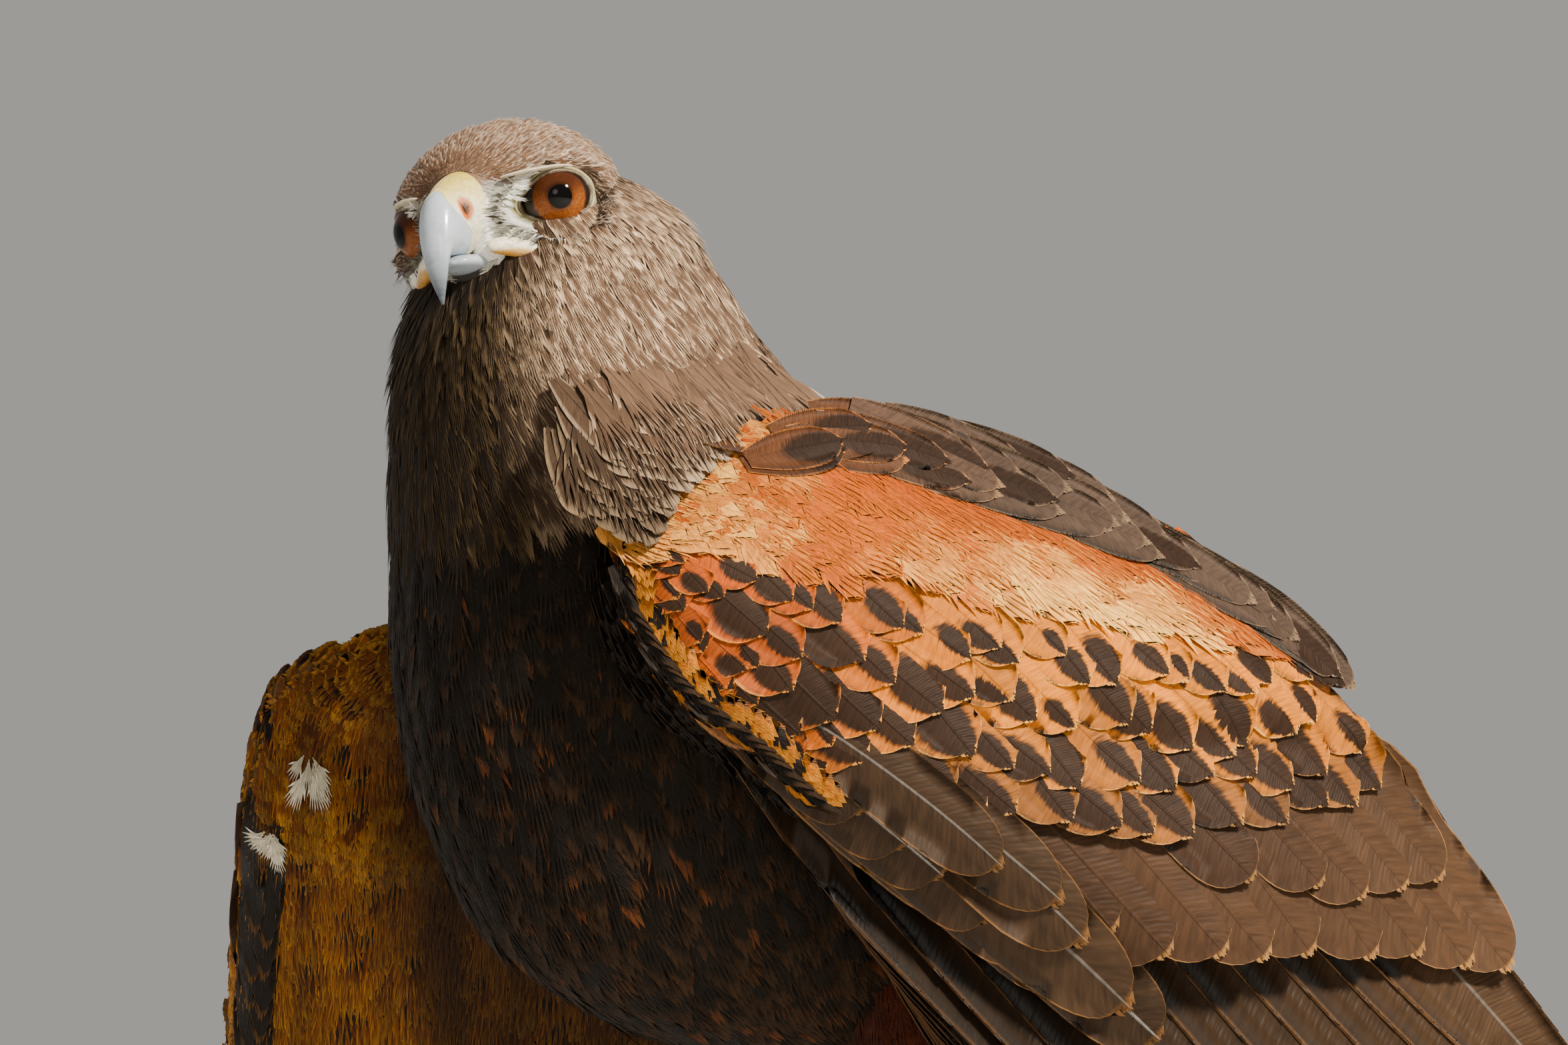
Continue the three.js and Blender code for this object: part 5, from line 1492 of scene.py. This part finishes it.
tips = edge_rows(low_edge, (1.5, 4.5), 12.0)
count = len(tips)
heading = np.radians(np.full(count, 74.0) + chance.normal(0, 1.5, count))
starts = roots_of(tips, 38, heading)
paint = look(BLACKISH, linear("4a3010"), BLACKISH, (0.1, 0.0, 0.3, 0.0), np.ones(count))
under[0].on_sheet(on_lining, starts, tips, 7.0, -0.6, -1.8, paint, starts / 260 + 0.4, arch=-0.06)
finish_lining("right", under)

# %% [markdown]
# The scapulars cover the place where the wing joins the back. They are large soft feathers that lie
# on a sheet from shoulder to rump, each rank longer than the one before it.

# %% Scapulars
BACK_LINE = np.array([[row[2], row[3]] for row in TORSO_RIBS], float)

def back_sheet(a, b, h):
    """a is the place along the bird and b the place to its left, both in millimetres."""
    crest = np.interp(a, BACK_LINE[:, 0], BACK_LINE[:, 1])
    rise = mix(-15, 0, np.clip((a + 40) / 110, 0, 1))
    z = crest - 12 * np.sign(b) * (b / 58) ** 3 + rise + h
    return np.stack([b, a, z], -1)

SCAPULAR = linear("43342a")
SCAPULAR_TIP = linear("76604a")
for side, sign in SIDES:
    scapulars = Feathers(BROAD)
    ranks = [
        (20, 100, 27, -2.0, 6), (8, 84, 26, -0.6, 6), (-4, 66, 25, 0.8, 7), (-16, 52, 24, 1.8, 7),
        (-28, 44, 22, 2.2, 8), (-40, 38, 20, 2.0, 9), (-52, 34, 18, 1.4, 9),
    ]
    for k, (start, length, width, level, count) in enumerate(ranks):
        x = mix(5, 58, (np.arange(count) + 0.5 + chance.uniform(-0.2, 0.2, count) + 0.3 * (k % 2)) / count)
        roots = np.stack([start + chance.uniform(-5, 5, count), sign * x * 0.86], -1)
        reach = length * (1 - 0.1 * np.abs(x - 30) / 30) * chance.uniform(0.9, 1.06, count)
        tips = np.stack([roots[:, 0] + reach, sign * (x + 3)], -1)
        outer = soft_step(x, 30, 56)
        ground = blend(outer * 0.6, SCAPULAR, linear("6a3c18"))
        fringe = blend(outer, SCAPULAR_TIP, linear("a8692c"))
        form = np.tile([[0.16, 0.0, 0.4, 0.0]], (count, 1))
        form[:, 1] = np.where(outer > 0.3, chance.uniform(0.3, 0.6, count), 0.0)
        paint = look(ground, fringe, HEART * 1.3, form, chance.uniform(0.82, 1.2, count))
        spots = np.stack([0.5 + sign * x / 130, np.full(count, 0.1 + 0.09 * k)], -1)
        steps = np.arange(count) * 0.35
        scapulars.on_sheet(back_sheet, roots, tips, width, level - 2.5 + steps, level + 1.0 + steps,
                           paint, spots, arch=0.07, shaft=0.1)
    for k in range(4 if side == "left" else 0):
        line = np.arange((28, 30, 34, 44)[k], 174, 4.0)
        tops = scapular_line(line) - 0.5 - 3.5 * k * (1 - 0.85 * soft_step(line, 90, 150))
        tips, share = on_line(np.stack([line, tops], -1), 13, 0.3)
        count = len(tips)
        tips = tips + chance.uniform(-1.4, 1.4, tips.shape)
        length = mix(24, 40, soft_step(share, 0, 0.4))
        ran = 0.8 * length
        heading = np.degrees(np.arctan2(scapular_line(tips[:, 0]) - scapular_line(tips[:, 0] - ran), ran))
        ahead = 1 - soft_step(tips[:, 0], 30, 85)
        ground = blend(ahead * 0.7, SCAPULAR, linear("5a3012"))
        fringe = blend(ahead, SCAPULAR_TIP, linear("b86c28"))
        tone = chance.uniform(0.85, 1.18, count)
        form = np.tile([[0.09, 0.0, 0.4, 0.1]], (count, 1))
        form[:, 1] = np.where(chance.random(count) < ahead + 0.12, chance.uniform(0.6, 0.9, count), 0.0)
        paint = look(ground, fringe, HEART * 0.8, form, tone)
        rank(side, scapulars, tips, length, mix(11, 15, share), heading + 3 + chance.normal(0, 2, count),
             paint, (2.3, 2.6, 2.2, 1.4)[k] + chance.uniform(-0.2, 0.2, count), arch=0.05, deep=1.0)
    place_piece(scapulars.piece("scapulars_" + side, COVERT_FEATHER), "body_plumage")

# %% [markdown]
# Soft feathers of the neck's side hang over the front of the folded wing and hide where it joins.

# %% Neck feathers over the wrist
LAP_LINE = np.array([[36, -54], [26, -47], [15, -38], [7, -27], [1.5, -16], [-1.5, -7], [-3.5, 1]], float)

laps = (Feathers(LARGE), Feathers(WISP))
for k in range(5):
    line = LAP_LINE - np.array([[3.6, 1.2]]) * k
    for shape_set, lift in zip(laps, (0.0, 0.8)):
        tips, share = on_line(line, 4.6, 0.35)
        count = len(tips)
        heading = np.radians(mix(38, 66, share) + chance.normal(0, 7, count))
        starts = roots_of(tips, 26, heading)
        low = 0.8 * soft_step(share, 0.35, 0.95)
        paint = look(blend(low, NAPE, THROAT), blend(low, NAPE_TIP * 0.85, THROAT_TIP), HEART,
                     (0.3, 0.0, 0.2, 0.0), chance.uniform(0.8, 1.2, count))
        level = 5.2 - 1.1 * k + lift
        spots = np.stack([0.5 + 0.4 * share, np.full(count, 0.1 + 0.1 * k)], -1)
        shape_set.on_sheet(wing_sheet("left"), starts, tips, 8.5, level - 9, level, paint, spots, arch=0.1)
place_piece(laps[0].piece("neck_laps_left", SOFT_FEATHER), "body_plumage")
place_piece(laps[1].piece("neck_lap_wisps_left", FINE_FEATHER), "body_plumage")

# %% [markdown]
# The tail has twelve feathers under one another, dark in the middle of their length and white at
# the root and the tip. White coverts lie over their roots and under them.

# %% Tail
TAIL_ROOT = np.array([0, 142.6, 236.3])
TAIL_AXES = turned("x", -TAIL_DROP)
TAIL_DARK = linear("241910")

def tail_sheet(a, b, h):
    z = h - b ** 2 / 220 - a ** 2 / 4200
    return np.stack([b, a, z], -1) @ TAIL_AXES.T + TAIL_ROOT

quills = Feathers(LONG)
for i in range(6):
    for sign in (1, -1):
        level = -1.5 - LAYER * (2 * i + (0 if sign > 0 else 1))
        roots = np.array([[6, sign * (1.5 + 1.6 * i)]])
        tips = np.array([[TAIL_LENGTH - 0.36 * i * i, sign * (5 + 5.2 * i)]])
        tone = np.array([1 - 0.03 * i])
        paint = look(TAIL_DARK, TAIL_DARK * 1.6, TAIL_DARK * 0.5, (0.03, 0.0, 0.3, 0.0), tone)
        spots = np.array([[0.5 + sign * (i + 1) / 14, 0.5]])
        quills.on_sheet(tail_sheet, roots, tips, 34, level, level, paint, spots, bow=sign * 1.5,
                        arch=0.03, shaft=0.25)
tail_piece = quills.piece("tail_feathers", FLIGHT_FEATHER)
share = np.tile(LONG["u"], 12)
white = np.clip(soft_step(share, 0.925, 0.95) + 1 - soft_step(share, 0.2, 0.34), 0, 1)
brown = TAIL_DARK * (1 + 0.25 * soft_step(share, 0.3, 0.9))[:, None]
point_ground = brown * (1 - white[:, None]) + RUMP_WHITE * white[:, None]
for key in ("ground", "fringe"):
    tail_piece.data.attributes.remove(tail_piece.data.attributes[key])
    point_colours(tail_piece, key, point_ground * (1.0 if key == "ground" else 1.15))
place_piece(thickened(tail_piece), "tail_plumage")

# %% Tail coverts
covers = Feathers(MIDDLE)
for k in range(9):
    for top in (True, False):
        count = 9 - k // 3
        spread = (np.arange(count) - (count - 1) / 2 + 0.5 * (k % 2) * 0.6) * 5.4
        far = (86 if top else 100) - 9 * k
        if far < 18:
            continue
        reach = far + chance.uniform(-2, 2, count) - 0.012 * spread ** 2
        tips = np.stack([reach, spread * 1.05], -1)
        roots = np.stack([np.maximum(tips[:, 0] - 34, -16), spread * 0.8], -1)
        level = (1.5 + 0.7 * k) if top else -(17.5 + 0.55 * k)
        paint = look(RUMP_WHITE, RUMP_WHITE * 1.05, HEART, (0.3, 0.0, 0.6, 0.0),
                     chance.uniform(0.85, 1.05, count))
        spots = np.stack([0.5 + spread / 70, np.full(count, 0.1 + 0.08 * k)], -1)
        arch = 0.1 if top else -0.1
        covers.on_sheet(tail_sheet, roots, tips, 11, level - 1.5, level, paint, spots, arch=arch)
place_piece(covers.piece("tail_coverts", SOFT_FEATHER), "tail_plumage", "tail")

# %% Root of the tail
TAIL_CORE = [
    [0.3, -17, 0.3, 8, 17, 0], [12, -18, 12, 8, 19, 0], [26, -17, 26, 5, 17, 0], [40, -13, 40, -1, 11, 0],
    [50, -9.5, 50, -5, 4, 0],
]
def tail_core(t, turn):
    return rib_surface(TAIL_CORE, t, turn, -1.2) @ TAIL_AXES.T + TAIL_ROOT

core = lofted("tail_root", tail_core, 20, 28)
point_colours(core, "ground", RUMP_WHITE * 0.8)
core.data.materials.append(limb_finish)
place_piece(core, "tail_plumage")

# %% [markdown]
# The bill is horn with a wet look: pale blue grey, darker toward the hook, with faint growth lines.
# The cere above it is bare yellow skin, softer and duller, with an upright nostril on each side.

# %% Bill and cere
UPPER_RIBS = [
    [-15.4, -9.4, -19.8, 6.4, 5.5, 0], [-19.6, -9.4, -23.9, 4.3, 5, 0], [-23, -9.7, -26.6, 0, 4.3, 0],
    [-25.4, -11.8, -28.2, -5.8, 3.4, 0], [-26.8, -15.4, -28.8, -12.2, 2.3, 0],
    [-28, -20.3, -28.4, -20.1, 0.3, 0],
]
LOWER_RIBS = [
    [-5, -15.4, -5, -9.8, 7.6, 0], [-13.5, -13.9, -14, -9.3, 5.8, 0], [-19.4, -12.9, -20, -9.5, 4.2, 0],
    [-22.6, -11.8, -23, -10.6, 1.4, 0],
]
CERE_RIBS = [
    [-9.5, -10.4, -9.5, 10.4, 9, 0], [-14, -9.9, -15.5, 8.5, 7.4, 0], [-15.4, -9.4, -19.8, 6.4, 5.8, 0],
    [-16.3, -9.2, -21.2, 5.6, 5.0, 0],
]
NOSTRIL = np.array([6.1, -18.8, 0.5])

def face_loft(name, rows, rings, around, power=2.0):
    obj = lofted(name, lambda t, turn: from_head(rib_surface(rows, t, turn, 0.0, power)), rings, around)
    bpy.ops.object.shade_smooth()
    return obj

upper_bill = face_loft("bill_top", UPPER_RIBS, 96, 96, 1.9)
lower_bill = face_loft("bill_bottom", LOWER_RIBS, 36, 48)
cere_skin = face_loft("cere_skin", CERE_RIBS, 60, 96)
for sign in (1, -1):
    bpy.ops.mesh.primitive_uv_sphere_add(segments=24, ring_count=14, radius=1,
                                         location=at_place(from_head(NOSTRIL * [sign, 1, 1])))
    pit = bpy.context.object
    pit.scale = (0.0013, 0.0012, 0.0017)
    pit.rotation_euler = (math.radians(HEAD_TURN["pitch"]), 0, math.radians(HEAD_TURN["yaw"]))
    for part in (cere_skin, upper_bill):
        cut = part.modifiers.new("nostril", "BOOLEAN")
        cut.object = pit
        cut.solver = "FAST"
        bpy.context.view_layer.objects.active = part
        bpy.ops.object.modifier_apply(modifier="nostril")
    bpy.data.objects.remove(pit)

def own_points(obj):
    """An object's points in the head's own frame, in millimetres."""
    at = np.empty(len(obj.data.vertices) * 3)
    obj.data.vertices.foreach_get("co", at)
    return into_head((at.reshape(-1, 3) - SHIFT) / MM)

YELLOW = linear("e6cc4c")
PALE_YELLOW = linear("eee8cc")

def cere_colours(own):
    """Yellow above, paler below, with an orange rim to each nostril and painted shade, dark brown, in its
    hollow.
    """
    nostril = np.hypot(own[:, 1] - NOSTRIL[1], 0.68 * (own[:, 2] - NOSTRIL[2])) + 4 * (np.abs(own[:, 0]) < 2)
    colour = blend(soft_step(own[:, 2], -2, 8), PALE_YELLOW, YELLOW)
    colour = blend(1 - soft_step(nostril, 1.5, 2.3), colour, linear("c0621c"))
    # The nostril's hollow is painted dark brown: painted shade of the opening.
    return blend(1 - soft_step(nostril, 0.7, 1.3), colour, linear("3a1c0e"))

def on_cere(own):
    """Above nought where the bill's top is still covered by the cere, in millimetres behind its line."""
    line = np.interp(own[:, 2], [-9, -6, -3, 0, 3, 5.5, 7], [-13.8, -15.8, -19.4, -22.2, -23.0, -21.6, -30])
    return own[:, 1] - line

HORN = linear("b2bdc8")
HORN_TIP = linear("46505a")
for horn in (upper_bill, lower_bill):
    own = own_points(horn)
    upper = horn is upper_bill
    toward_tip = soft_step(-own[:, 2], 6, 19) if upper else soft_step(-own[:, 1], 16, 24) * 0.5
    point_colours(horn, "ground", blend(toward_tip, HORN, HORN_TIP))
    band = np.stack([-own[:, 1] * 0.7 - own[:, 2] * 0.6, own[:, 0], own[:, 2]], -1)
    point_colours(horn, "growth", band / 40)
    behind = on_cere(own) if upper else np.full(len(own), -9.0)
    point_colours(horn, "cere", np.stack([behind / 20 + 0.5] * 3, -1))
    point_colours(horn, "cere ground", cere_colours(own))

horn_finish, n, shader = new_finish("bill horn", 0.22, Coat_Weight=0.5, Coat_Roughness=0.08)
growth = n.parts(n.attribute("growth")["Vector"])
lines = n.noise(n.vector(n.times(growth[0], 26.0), growth[1], growth[2]), 3.0, 4.0)
cloud = n.noise(n.coordinates(), 260, 3.0)
ground = n.attribute("ground")["Color"]
shade = n.mix(n.ramp(lines, 0.35, 0.7, 0.0, 0.16), ground, n.mix(0.5, ground, (0.82, 0.84, 0.82, 1)))
shade = n.mix(n.ramp(cloud, 0.45, 0.75, 0.0, 0.4), shade, n.mix(0.6, shade, (0.06, 0.07, 0.09, 1)))
covered = n.ramp(n.parts(n.attribute("cere")["Vector"])[0], 0.492, 0.508)
n.put(n.mix(covered, shade, n.attribute("cere ground")["Color"]), shader.inputs["Base Color"])
n.put(n.plus(n.ramp(cloud, 0.3, 0.8, 0.16, 0.34), n.times(covered, 0.2)), shader.inputs["Roughness"])
bump(n, shader, n.plus(lines, n.times(covered, 4.0)), 0.00005)
for horn in (upper_bill, lower_bill):
    horn.data.materials.append(horn_finish)

point_colours(cere_skin, "ground", cere_colours(own_points(cere_skin)))

def bare_skin(name, grain_size, depth, roughness):
    material, n, shader = new_finish(name, roughness, Subsurface_Weight=0.12, Subsurface_Scale=0.001)
    grain = n.noise(n.coordinates(), grain_size, 5.0, 0.6)
    wide = n.noise(n.coordinates(), grain_size * 0.2, 3.0)
    ground = n.attribute("ground")["Color"]
    shade = n.mix(n.ramp(grain, 0.35, 0.65), n.mix(0.35, ground, (0.25, 0.12, 0.05, 1)), ground)
    shade = n.mix(n.ramp(wide, 0.45, 0.7, 0.0, 0.35), shade, n.mix(0.5, shade, (0.9, 0.85, 0.7, 1)))
    n.put(shade, shader.inputs["Base Color"])
    bump(n, shader, grain, depth)
    return material

CERE_FINISH = bare_skin("cere skin", 900, 0.00018, 0.42)
LID_FINISH = bare_skin("lid skin", 1600, 0.0002, 0.5)
cere_skin.data.materials.append(CERE_FINISH)
place_piece(upper_bill, "bill", "bill_upper")
place_piece(lower_bill, "bill", "bill_lower")
place_piece(cere_skin, "cere", "cere")

# %% [markdown]
# The eye is one polished ball with a clear bulge before the pupil. The pupil is very large, the
# iris orange brown with a thin dark rim, lighter below and painted darker toward its top as painted
# shade of the brow. The colours are set by the angle from the line of sight, which is kept as an
# attribute, so they hold from any side.

# %% Eyes
PUPIL = 2.75
IRIS = 6.5
EYE_SHELL = EYE_RADIUS - 0.12

def swept(name, profile_radius, profile_depth, centre, axis, around=64):
    """A round shape about an axis, from radii and heights along it."""
    up = unit(np.cross(axis, [0.0, 0.0, 1.0]))
    right = np.cross(axis, up)
    turns = np.linspace(0, 2 * math.pi, around, endpoint=False)
    circle = np.cos(turns)[:, None] * up + np.sin(turns)[:, None] * right
    points = [centre + circle * r + axis * d for r, d in zip(profile_radius, profile_depth)]
    ends = [centre[None] + axis * profile_depth[0], centre[None] + axis * profile_depth[-1]]
    points = np.concatenate(points + ends)
    obj = face_outward(mesh_object(name, points, ring_faces(len(profile_radius), around)))
    bpy.ops.object.shade_smooth()
    return obj

iris_finish, n, shader = new_finish("eye", 0.05, Coat_Weight=0.15, Coat_Roughness=0.015,
                                    Specular_IOR_Level=0.12)
spot = n.parts(n.attribute("sight")["Vector"])
angle = n.math("ARCTAN2", spot[1], spot[2])
fibres = n.noise(n.vector(n.math("SINE", angle), n.math("COSINE", angle), n.times(spot[0], 0.4)), 9.0, 5.0)
# The iris is painted darker toward its top and lighter below: painted shade of the brow over it.
painted_light_below = n.ramp(spot[2], -0.5, 0.7, 1.0, 0.0)
amber = n.mix(painted_light_below, (0.06, 0.016, 0.005, 1), (0.33, 0.092, 0.015, 1))
amber = n.mix(n.ramp(fibres, 0.35, 0.7), n.mix(0.55, amber, (0.03, 0.01, 0.004, 1)), amber)
reach = spot[0]
colour = n.mix(n.ramp(reach, PUPIL - 0.15, PUPIL + 0.2), (0.0015, 0.0013, 0.0013, 1), amber)
colour = n.mix(n.ramp(reach, PUPIL + 0.1, PUPIL + 1.1, 0.5, 0.0), colour, (0.002, 0.001, 0.001, 1))
colour = n.mix(n.ramp(reach, IRIS - 0.9, IRIS - 0.1), colour, (0.012, 0.008, 0.006, 1))
n.put(colour, shader.inputs["Base Color"])

for side, sign in SIDES:
    gaze, up, right = gaze_axes(sign)
    heights = np.cos(np.linspace(0.02, math.pi - 0.02, 44))
    radii = np.sqrt(1 - heights ** 2) * EYE_SHELL
    depths = heights * EYE_SHELL
    depths = depths + 0.75 * np.exp(-(radii / 4.6) ** 4) * (heights > 0)
    centre = from_head(eye_place(sign))
    axis = HEAD_AXES @ gaze
    eye = swept("eye_ball_" + side, radii, depths, centre, axis)
    own = own_points(eye) - eye_place(sign)
    across, high = own @ right, own @ up
    distance = np.hypot(across, high)
    front = own @ gaze > 0
    seen = np.where(front, distance, 9.0)
    turn_parts = np.stack([seen, across / np.maximum(distance, 0.01), high / np.maximum(distance, 0.01)], -1)
    point_colours(eye, "sight", turn_parts)
    eye.data.materials.append(iris_finish)
    place_piece(eye, "eye", "eye_" + side)

# %% [markdown]
# The lids are two soft rolls of pale skin that lie on the ball of the eye. A ridge of bone stands
# over them, which gives a hawk its stern look, and it is bare and pale as well.

# %% Lids, brow and gape
LID = linear("a39d70")
LID_EDGE = linear("2e2318")

def tube(name, centres, half_up, half_out, around=20):
    """A closed limb with oval sections, from rows of places in the head's own frame."""
    centres = np.asarray(centres, float)
    t = np.linspace(0, 1, 40)
    middle = through(centres, t)
    tall = through(np.asarray(half_up, float)[:, None], t)[:, 0]
    wide = through(np.asarray(half_out, float)[:, None], t)[:, 0]
    ends = np.sqrt(np.clip(1 - (2 * np.abs(t - 0.5)) ** 8, 0.02, 1))
    way = unit(np.gradient(middle, axis=0))
    side = unit(np.cross(way, [0, 0, 1.0]))
    up = np.cross(side, way)
    turns = np.linspace(0, 2 * math.pi, around, endpoint=False)
    rings = [m + np.cos(turns)[:, None] * s * w * e + np.sin(turns)[:, None] * u * h * e
             for m, s, u, w, h, e in zip(middle, side, up, wide, tall, ends)]
    points = np.concatenate([np.concatenate(rings), middle[:1], middle[-1:]])
    return face_outward(mesh_object(name, from_head(points), ring_faces(len(t), around)))

BROW = np.array([[11.2, -11.0, 6.2], [16.4, -7.4, 6.5], [21.2, -0.4, 6.4], [22.8, 6, 5.2]])
GAPE = np.array([
    [19.6, -2.6, -13.2], [17.4, -5.2, -12.6], [14.0, -8.8, -11.2], [10.8, -12.4, -9.6], [7.4, -16.4, -8.6],
])
FLANGE = ([-15.8, -12.4, -9.2, -6.0, -3.2], [-9.2, -9.6, -11.0, -12.2, -12.9])
LID_POINTS = 96
LID_SECTION = 14

def lid_ring(sign, out, thick, rise):
    """A soft roll round the opening, lying on the ball of the eye."""
    gaze, up, right = gaze_axes(sign)
    turns = np.linspace(0, 2 * math.pi, LID_POINTS, endpoint=False)
    section = np.linspace(0, 2 * math.pi, LID_SECTION, endpoint=False)
    radius = opening_radius(turns) + out
    ball = np.sqrt(np.maximum(EYE_RADIUS ** 2 - np.minimum(radius, 8.3) ** 2, 0)) + rise
    spokes = np.cos(turns)[:, None] * right + np.sin(turns)[:, None] * up
    middle = eye_place(sign) + spokes * radius[:, None] + gaze * ball[:, None]
    swell = thick * (1 + 0.08 * np.sin(5 * turns) + 0.06 * np.sin(9 * turns))
    ring = middle[:, None] + (spokes[:, None] * np.cos(section)[None, :, None] * swell[:, None, None]
                              + gaze * np.sin(section)[None, :, None] * thick)
    faces = []
    for i in range(LID_POINTS):
        here, there = i * LID_SECTION, ((i + 1) % LID_POINTS) * LID_SECTION
        for k in range(LID_SECTION):
            after = (k + 1) % LID_SECTION
            faces += [[here + k, here + after, there + after], [here + k, there + after, there + k]]
    return mesh_object("lid ring", from_head(ring.reshape(-1, 3)), faces)

for side, sign in SIDES:
    lid_parts = [lid_ring(sign, 0.0, 0.42, 0.05), lid_ring(sign, 0.75, 0.5, -0.2)]
    lids = face_outward(joined("eye_lids_" + side, *lid_parts))
    share = beside_eye(own_points(lids), sign)[0]
    point_colours(lids, "ground", blend(soft_step(share, 1.0, 1.1), LID_EDGE, LID))
    lids.data.materials.append(LID_FINISH)
    place_piece(lids, "cere")
    ridge = tube("brow_" + side, BROW * [sign, 1, 1], [0.3, 0.45, 0.45, 0.25], [0.9, 1.5, 1.7, 0.8])
    point_colours(ridge, "ground", linear("d8cfb2"))
    ridge.data.materials.append(LID_FINISH)
    place_piece(ridge, "cere")
    corner = tube("gape_" + side, GAPE * [sign, 1, 1], [0.9, 1.4, 1.9, 2.2, 1.6], [1.0, 1.5, 1.9, 1.8, 1.4])
    own = own_points(corner)
    below = soft_step(np.interp(own[:, 1], *FLANGE) - own[:, 2], 0.5, 1.3)
    point_colours(corner, "ground", blend(below, linear("f4eed2"), linear("d09636")))
    corner.data.materials.append(CERE_FINISH)
    place_piece(corner, "cere")

# %% [markdown]
# Fine bristles fan forward over the lores, from the eye to the cere. A few among them are darker.
# Each is one thin tapered vane.

# %% Bristles
bristles = Feathers(TINY)
count = 34000
t = chance.uniform(0.45, 0.99, count)
turn = chance.uniform(0, 2 * math.pi, count)
places, normals, _ = frame_of(lambda a, b: head_surface(a, b, -COAT_DEPTH * 0.4), t, turn)
own = into_head(places)
keep = (chance.random(count) < in_lores(own) * 1.2) & ~bare_face(own) & (own[:, 2] < 4.4)
places, normals, own, t, turn = places[keep], normals[keep], own[keep], t[keep], turn[keep]
count = len(own)
to_side = np.stack([np.sign(own[:, 0]), np.ones(count), np.ones(count)], -1)
from_eye = unit(own - (EYE_CENTRE + [0, 0, -1]) * to_side)
lies = flat_on(normals @ HEAD_AXES, from_eye + [0, -0.15, 0.12] + chance.normal(0, 0.16, own.shape))
dark = (chance.random(count) < 0.06)[:, None]
ground = np.where(dark, linear("6a5a46"), linear("f3eedd"))
fringe = np.where(dark, linear("5a4a38"), linear("faf7ee"))
paint = look(ground, fringe, LID_EDGE, (0.1, 0.0, 0.3, 0.0), chance.uniform(0.75, 1.1, count))
length = chance.uniform(2.2, 4.6, count)
width = chance.uniform(0.3, 0.6, count)
bristles.on_skin(places, lies @ HEAD_AXES.T, normals, length, width, paint, skin_spots(turn, t),
                 lift=chance.uniform(0.04, 0.16, count), sag=0.08)
place_piece(bristles.piece("lore_bristles", FINE_FEATHER), "body_plumage")

# %% [markdown]
# The legs are out of the photograph, so they follow the species: yellow, scaled in front with broad
# plates, and each toe ringed with scales. The solids have the right shape and keep it.

# %% Legs and claws
leg_finish, n, shader = new_finish("leg scales", 0.45)
where = n.parts(n.coordinates())
drift = n.noise(n.coordinates(), 120, 2.0)
up_leg = n.plus(where[2], n.times(where[1], 0.55))
band = n.math("FRACT", n.plus(n.times(up_leg, 270), n.times(drift, 0.9)))
groove = n.ramp(n.math("ABSOLUTE", n.minus(band, 0.5)), 0.34, 0.5, 0.0, 1.0)
pebble = n.noise(n.coordinates(), 900, 3.0)
yellow = n.mix(n.ramp(pebble, 0.3, 0.7), (0.5, 0.3, 0.06, 1), (0.72, 0.5, 0.14, 1))
n.put(n.mix(groove, yellow, (0.2, 0.12, 0.03, 1)), shader.inputs["Base Color"])
bump(n, shader, n.minus(pebble, n.times(groove, 1.5)), 0.0004)

claw_finish, n, shader = new_finish("claw horn", 0.25, Coat_Weight=0.4, Coat_Roughness=0.1)
grain = n.noise(n.coordinates(), 500, 4.0)
black = n.mix(n.ramp(grain, 0.3, 0.75), (0.012, 0.011, 0.012, 1), (0.06, 0.055, 0.052, 1))
n.put(black, shader.inputs["Base Color"])
bump(n, shader, grain, 0.0001)
for name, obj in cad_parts.items():
    for start, finish in (("tarsus", leg_finish), ("foot", leg_finish), ("claw", claw_finish)):
        if name.startswith(start):
            for slot_place in obj.material_slots:
                slot_place.material = finish
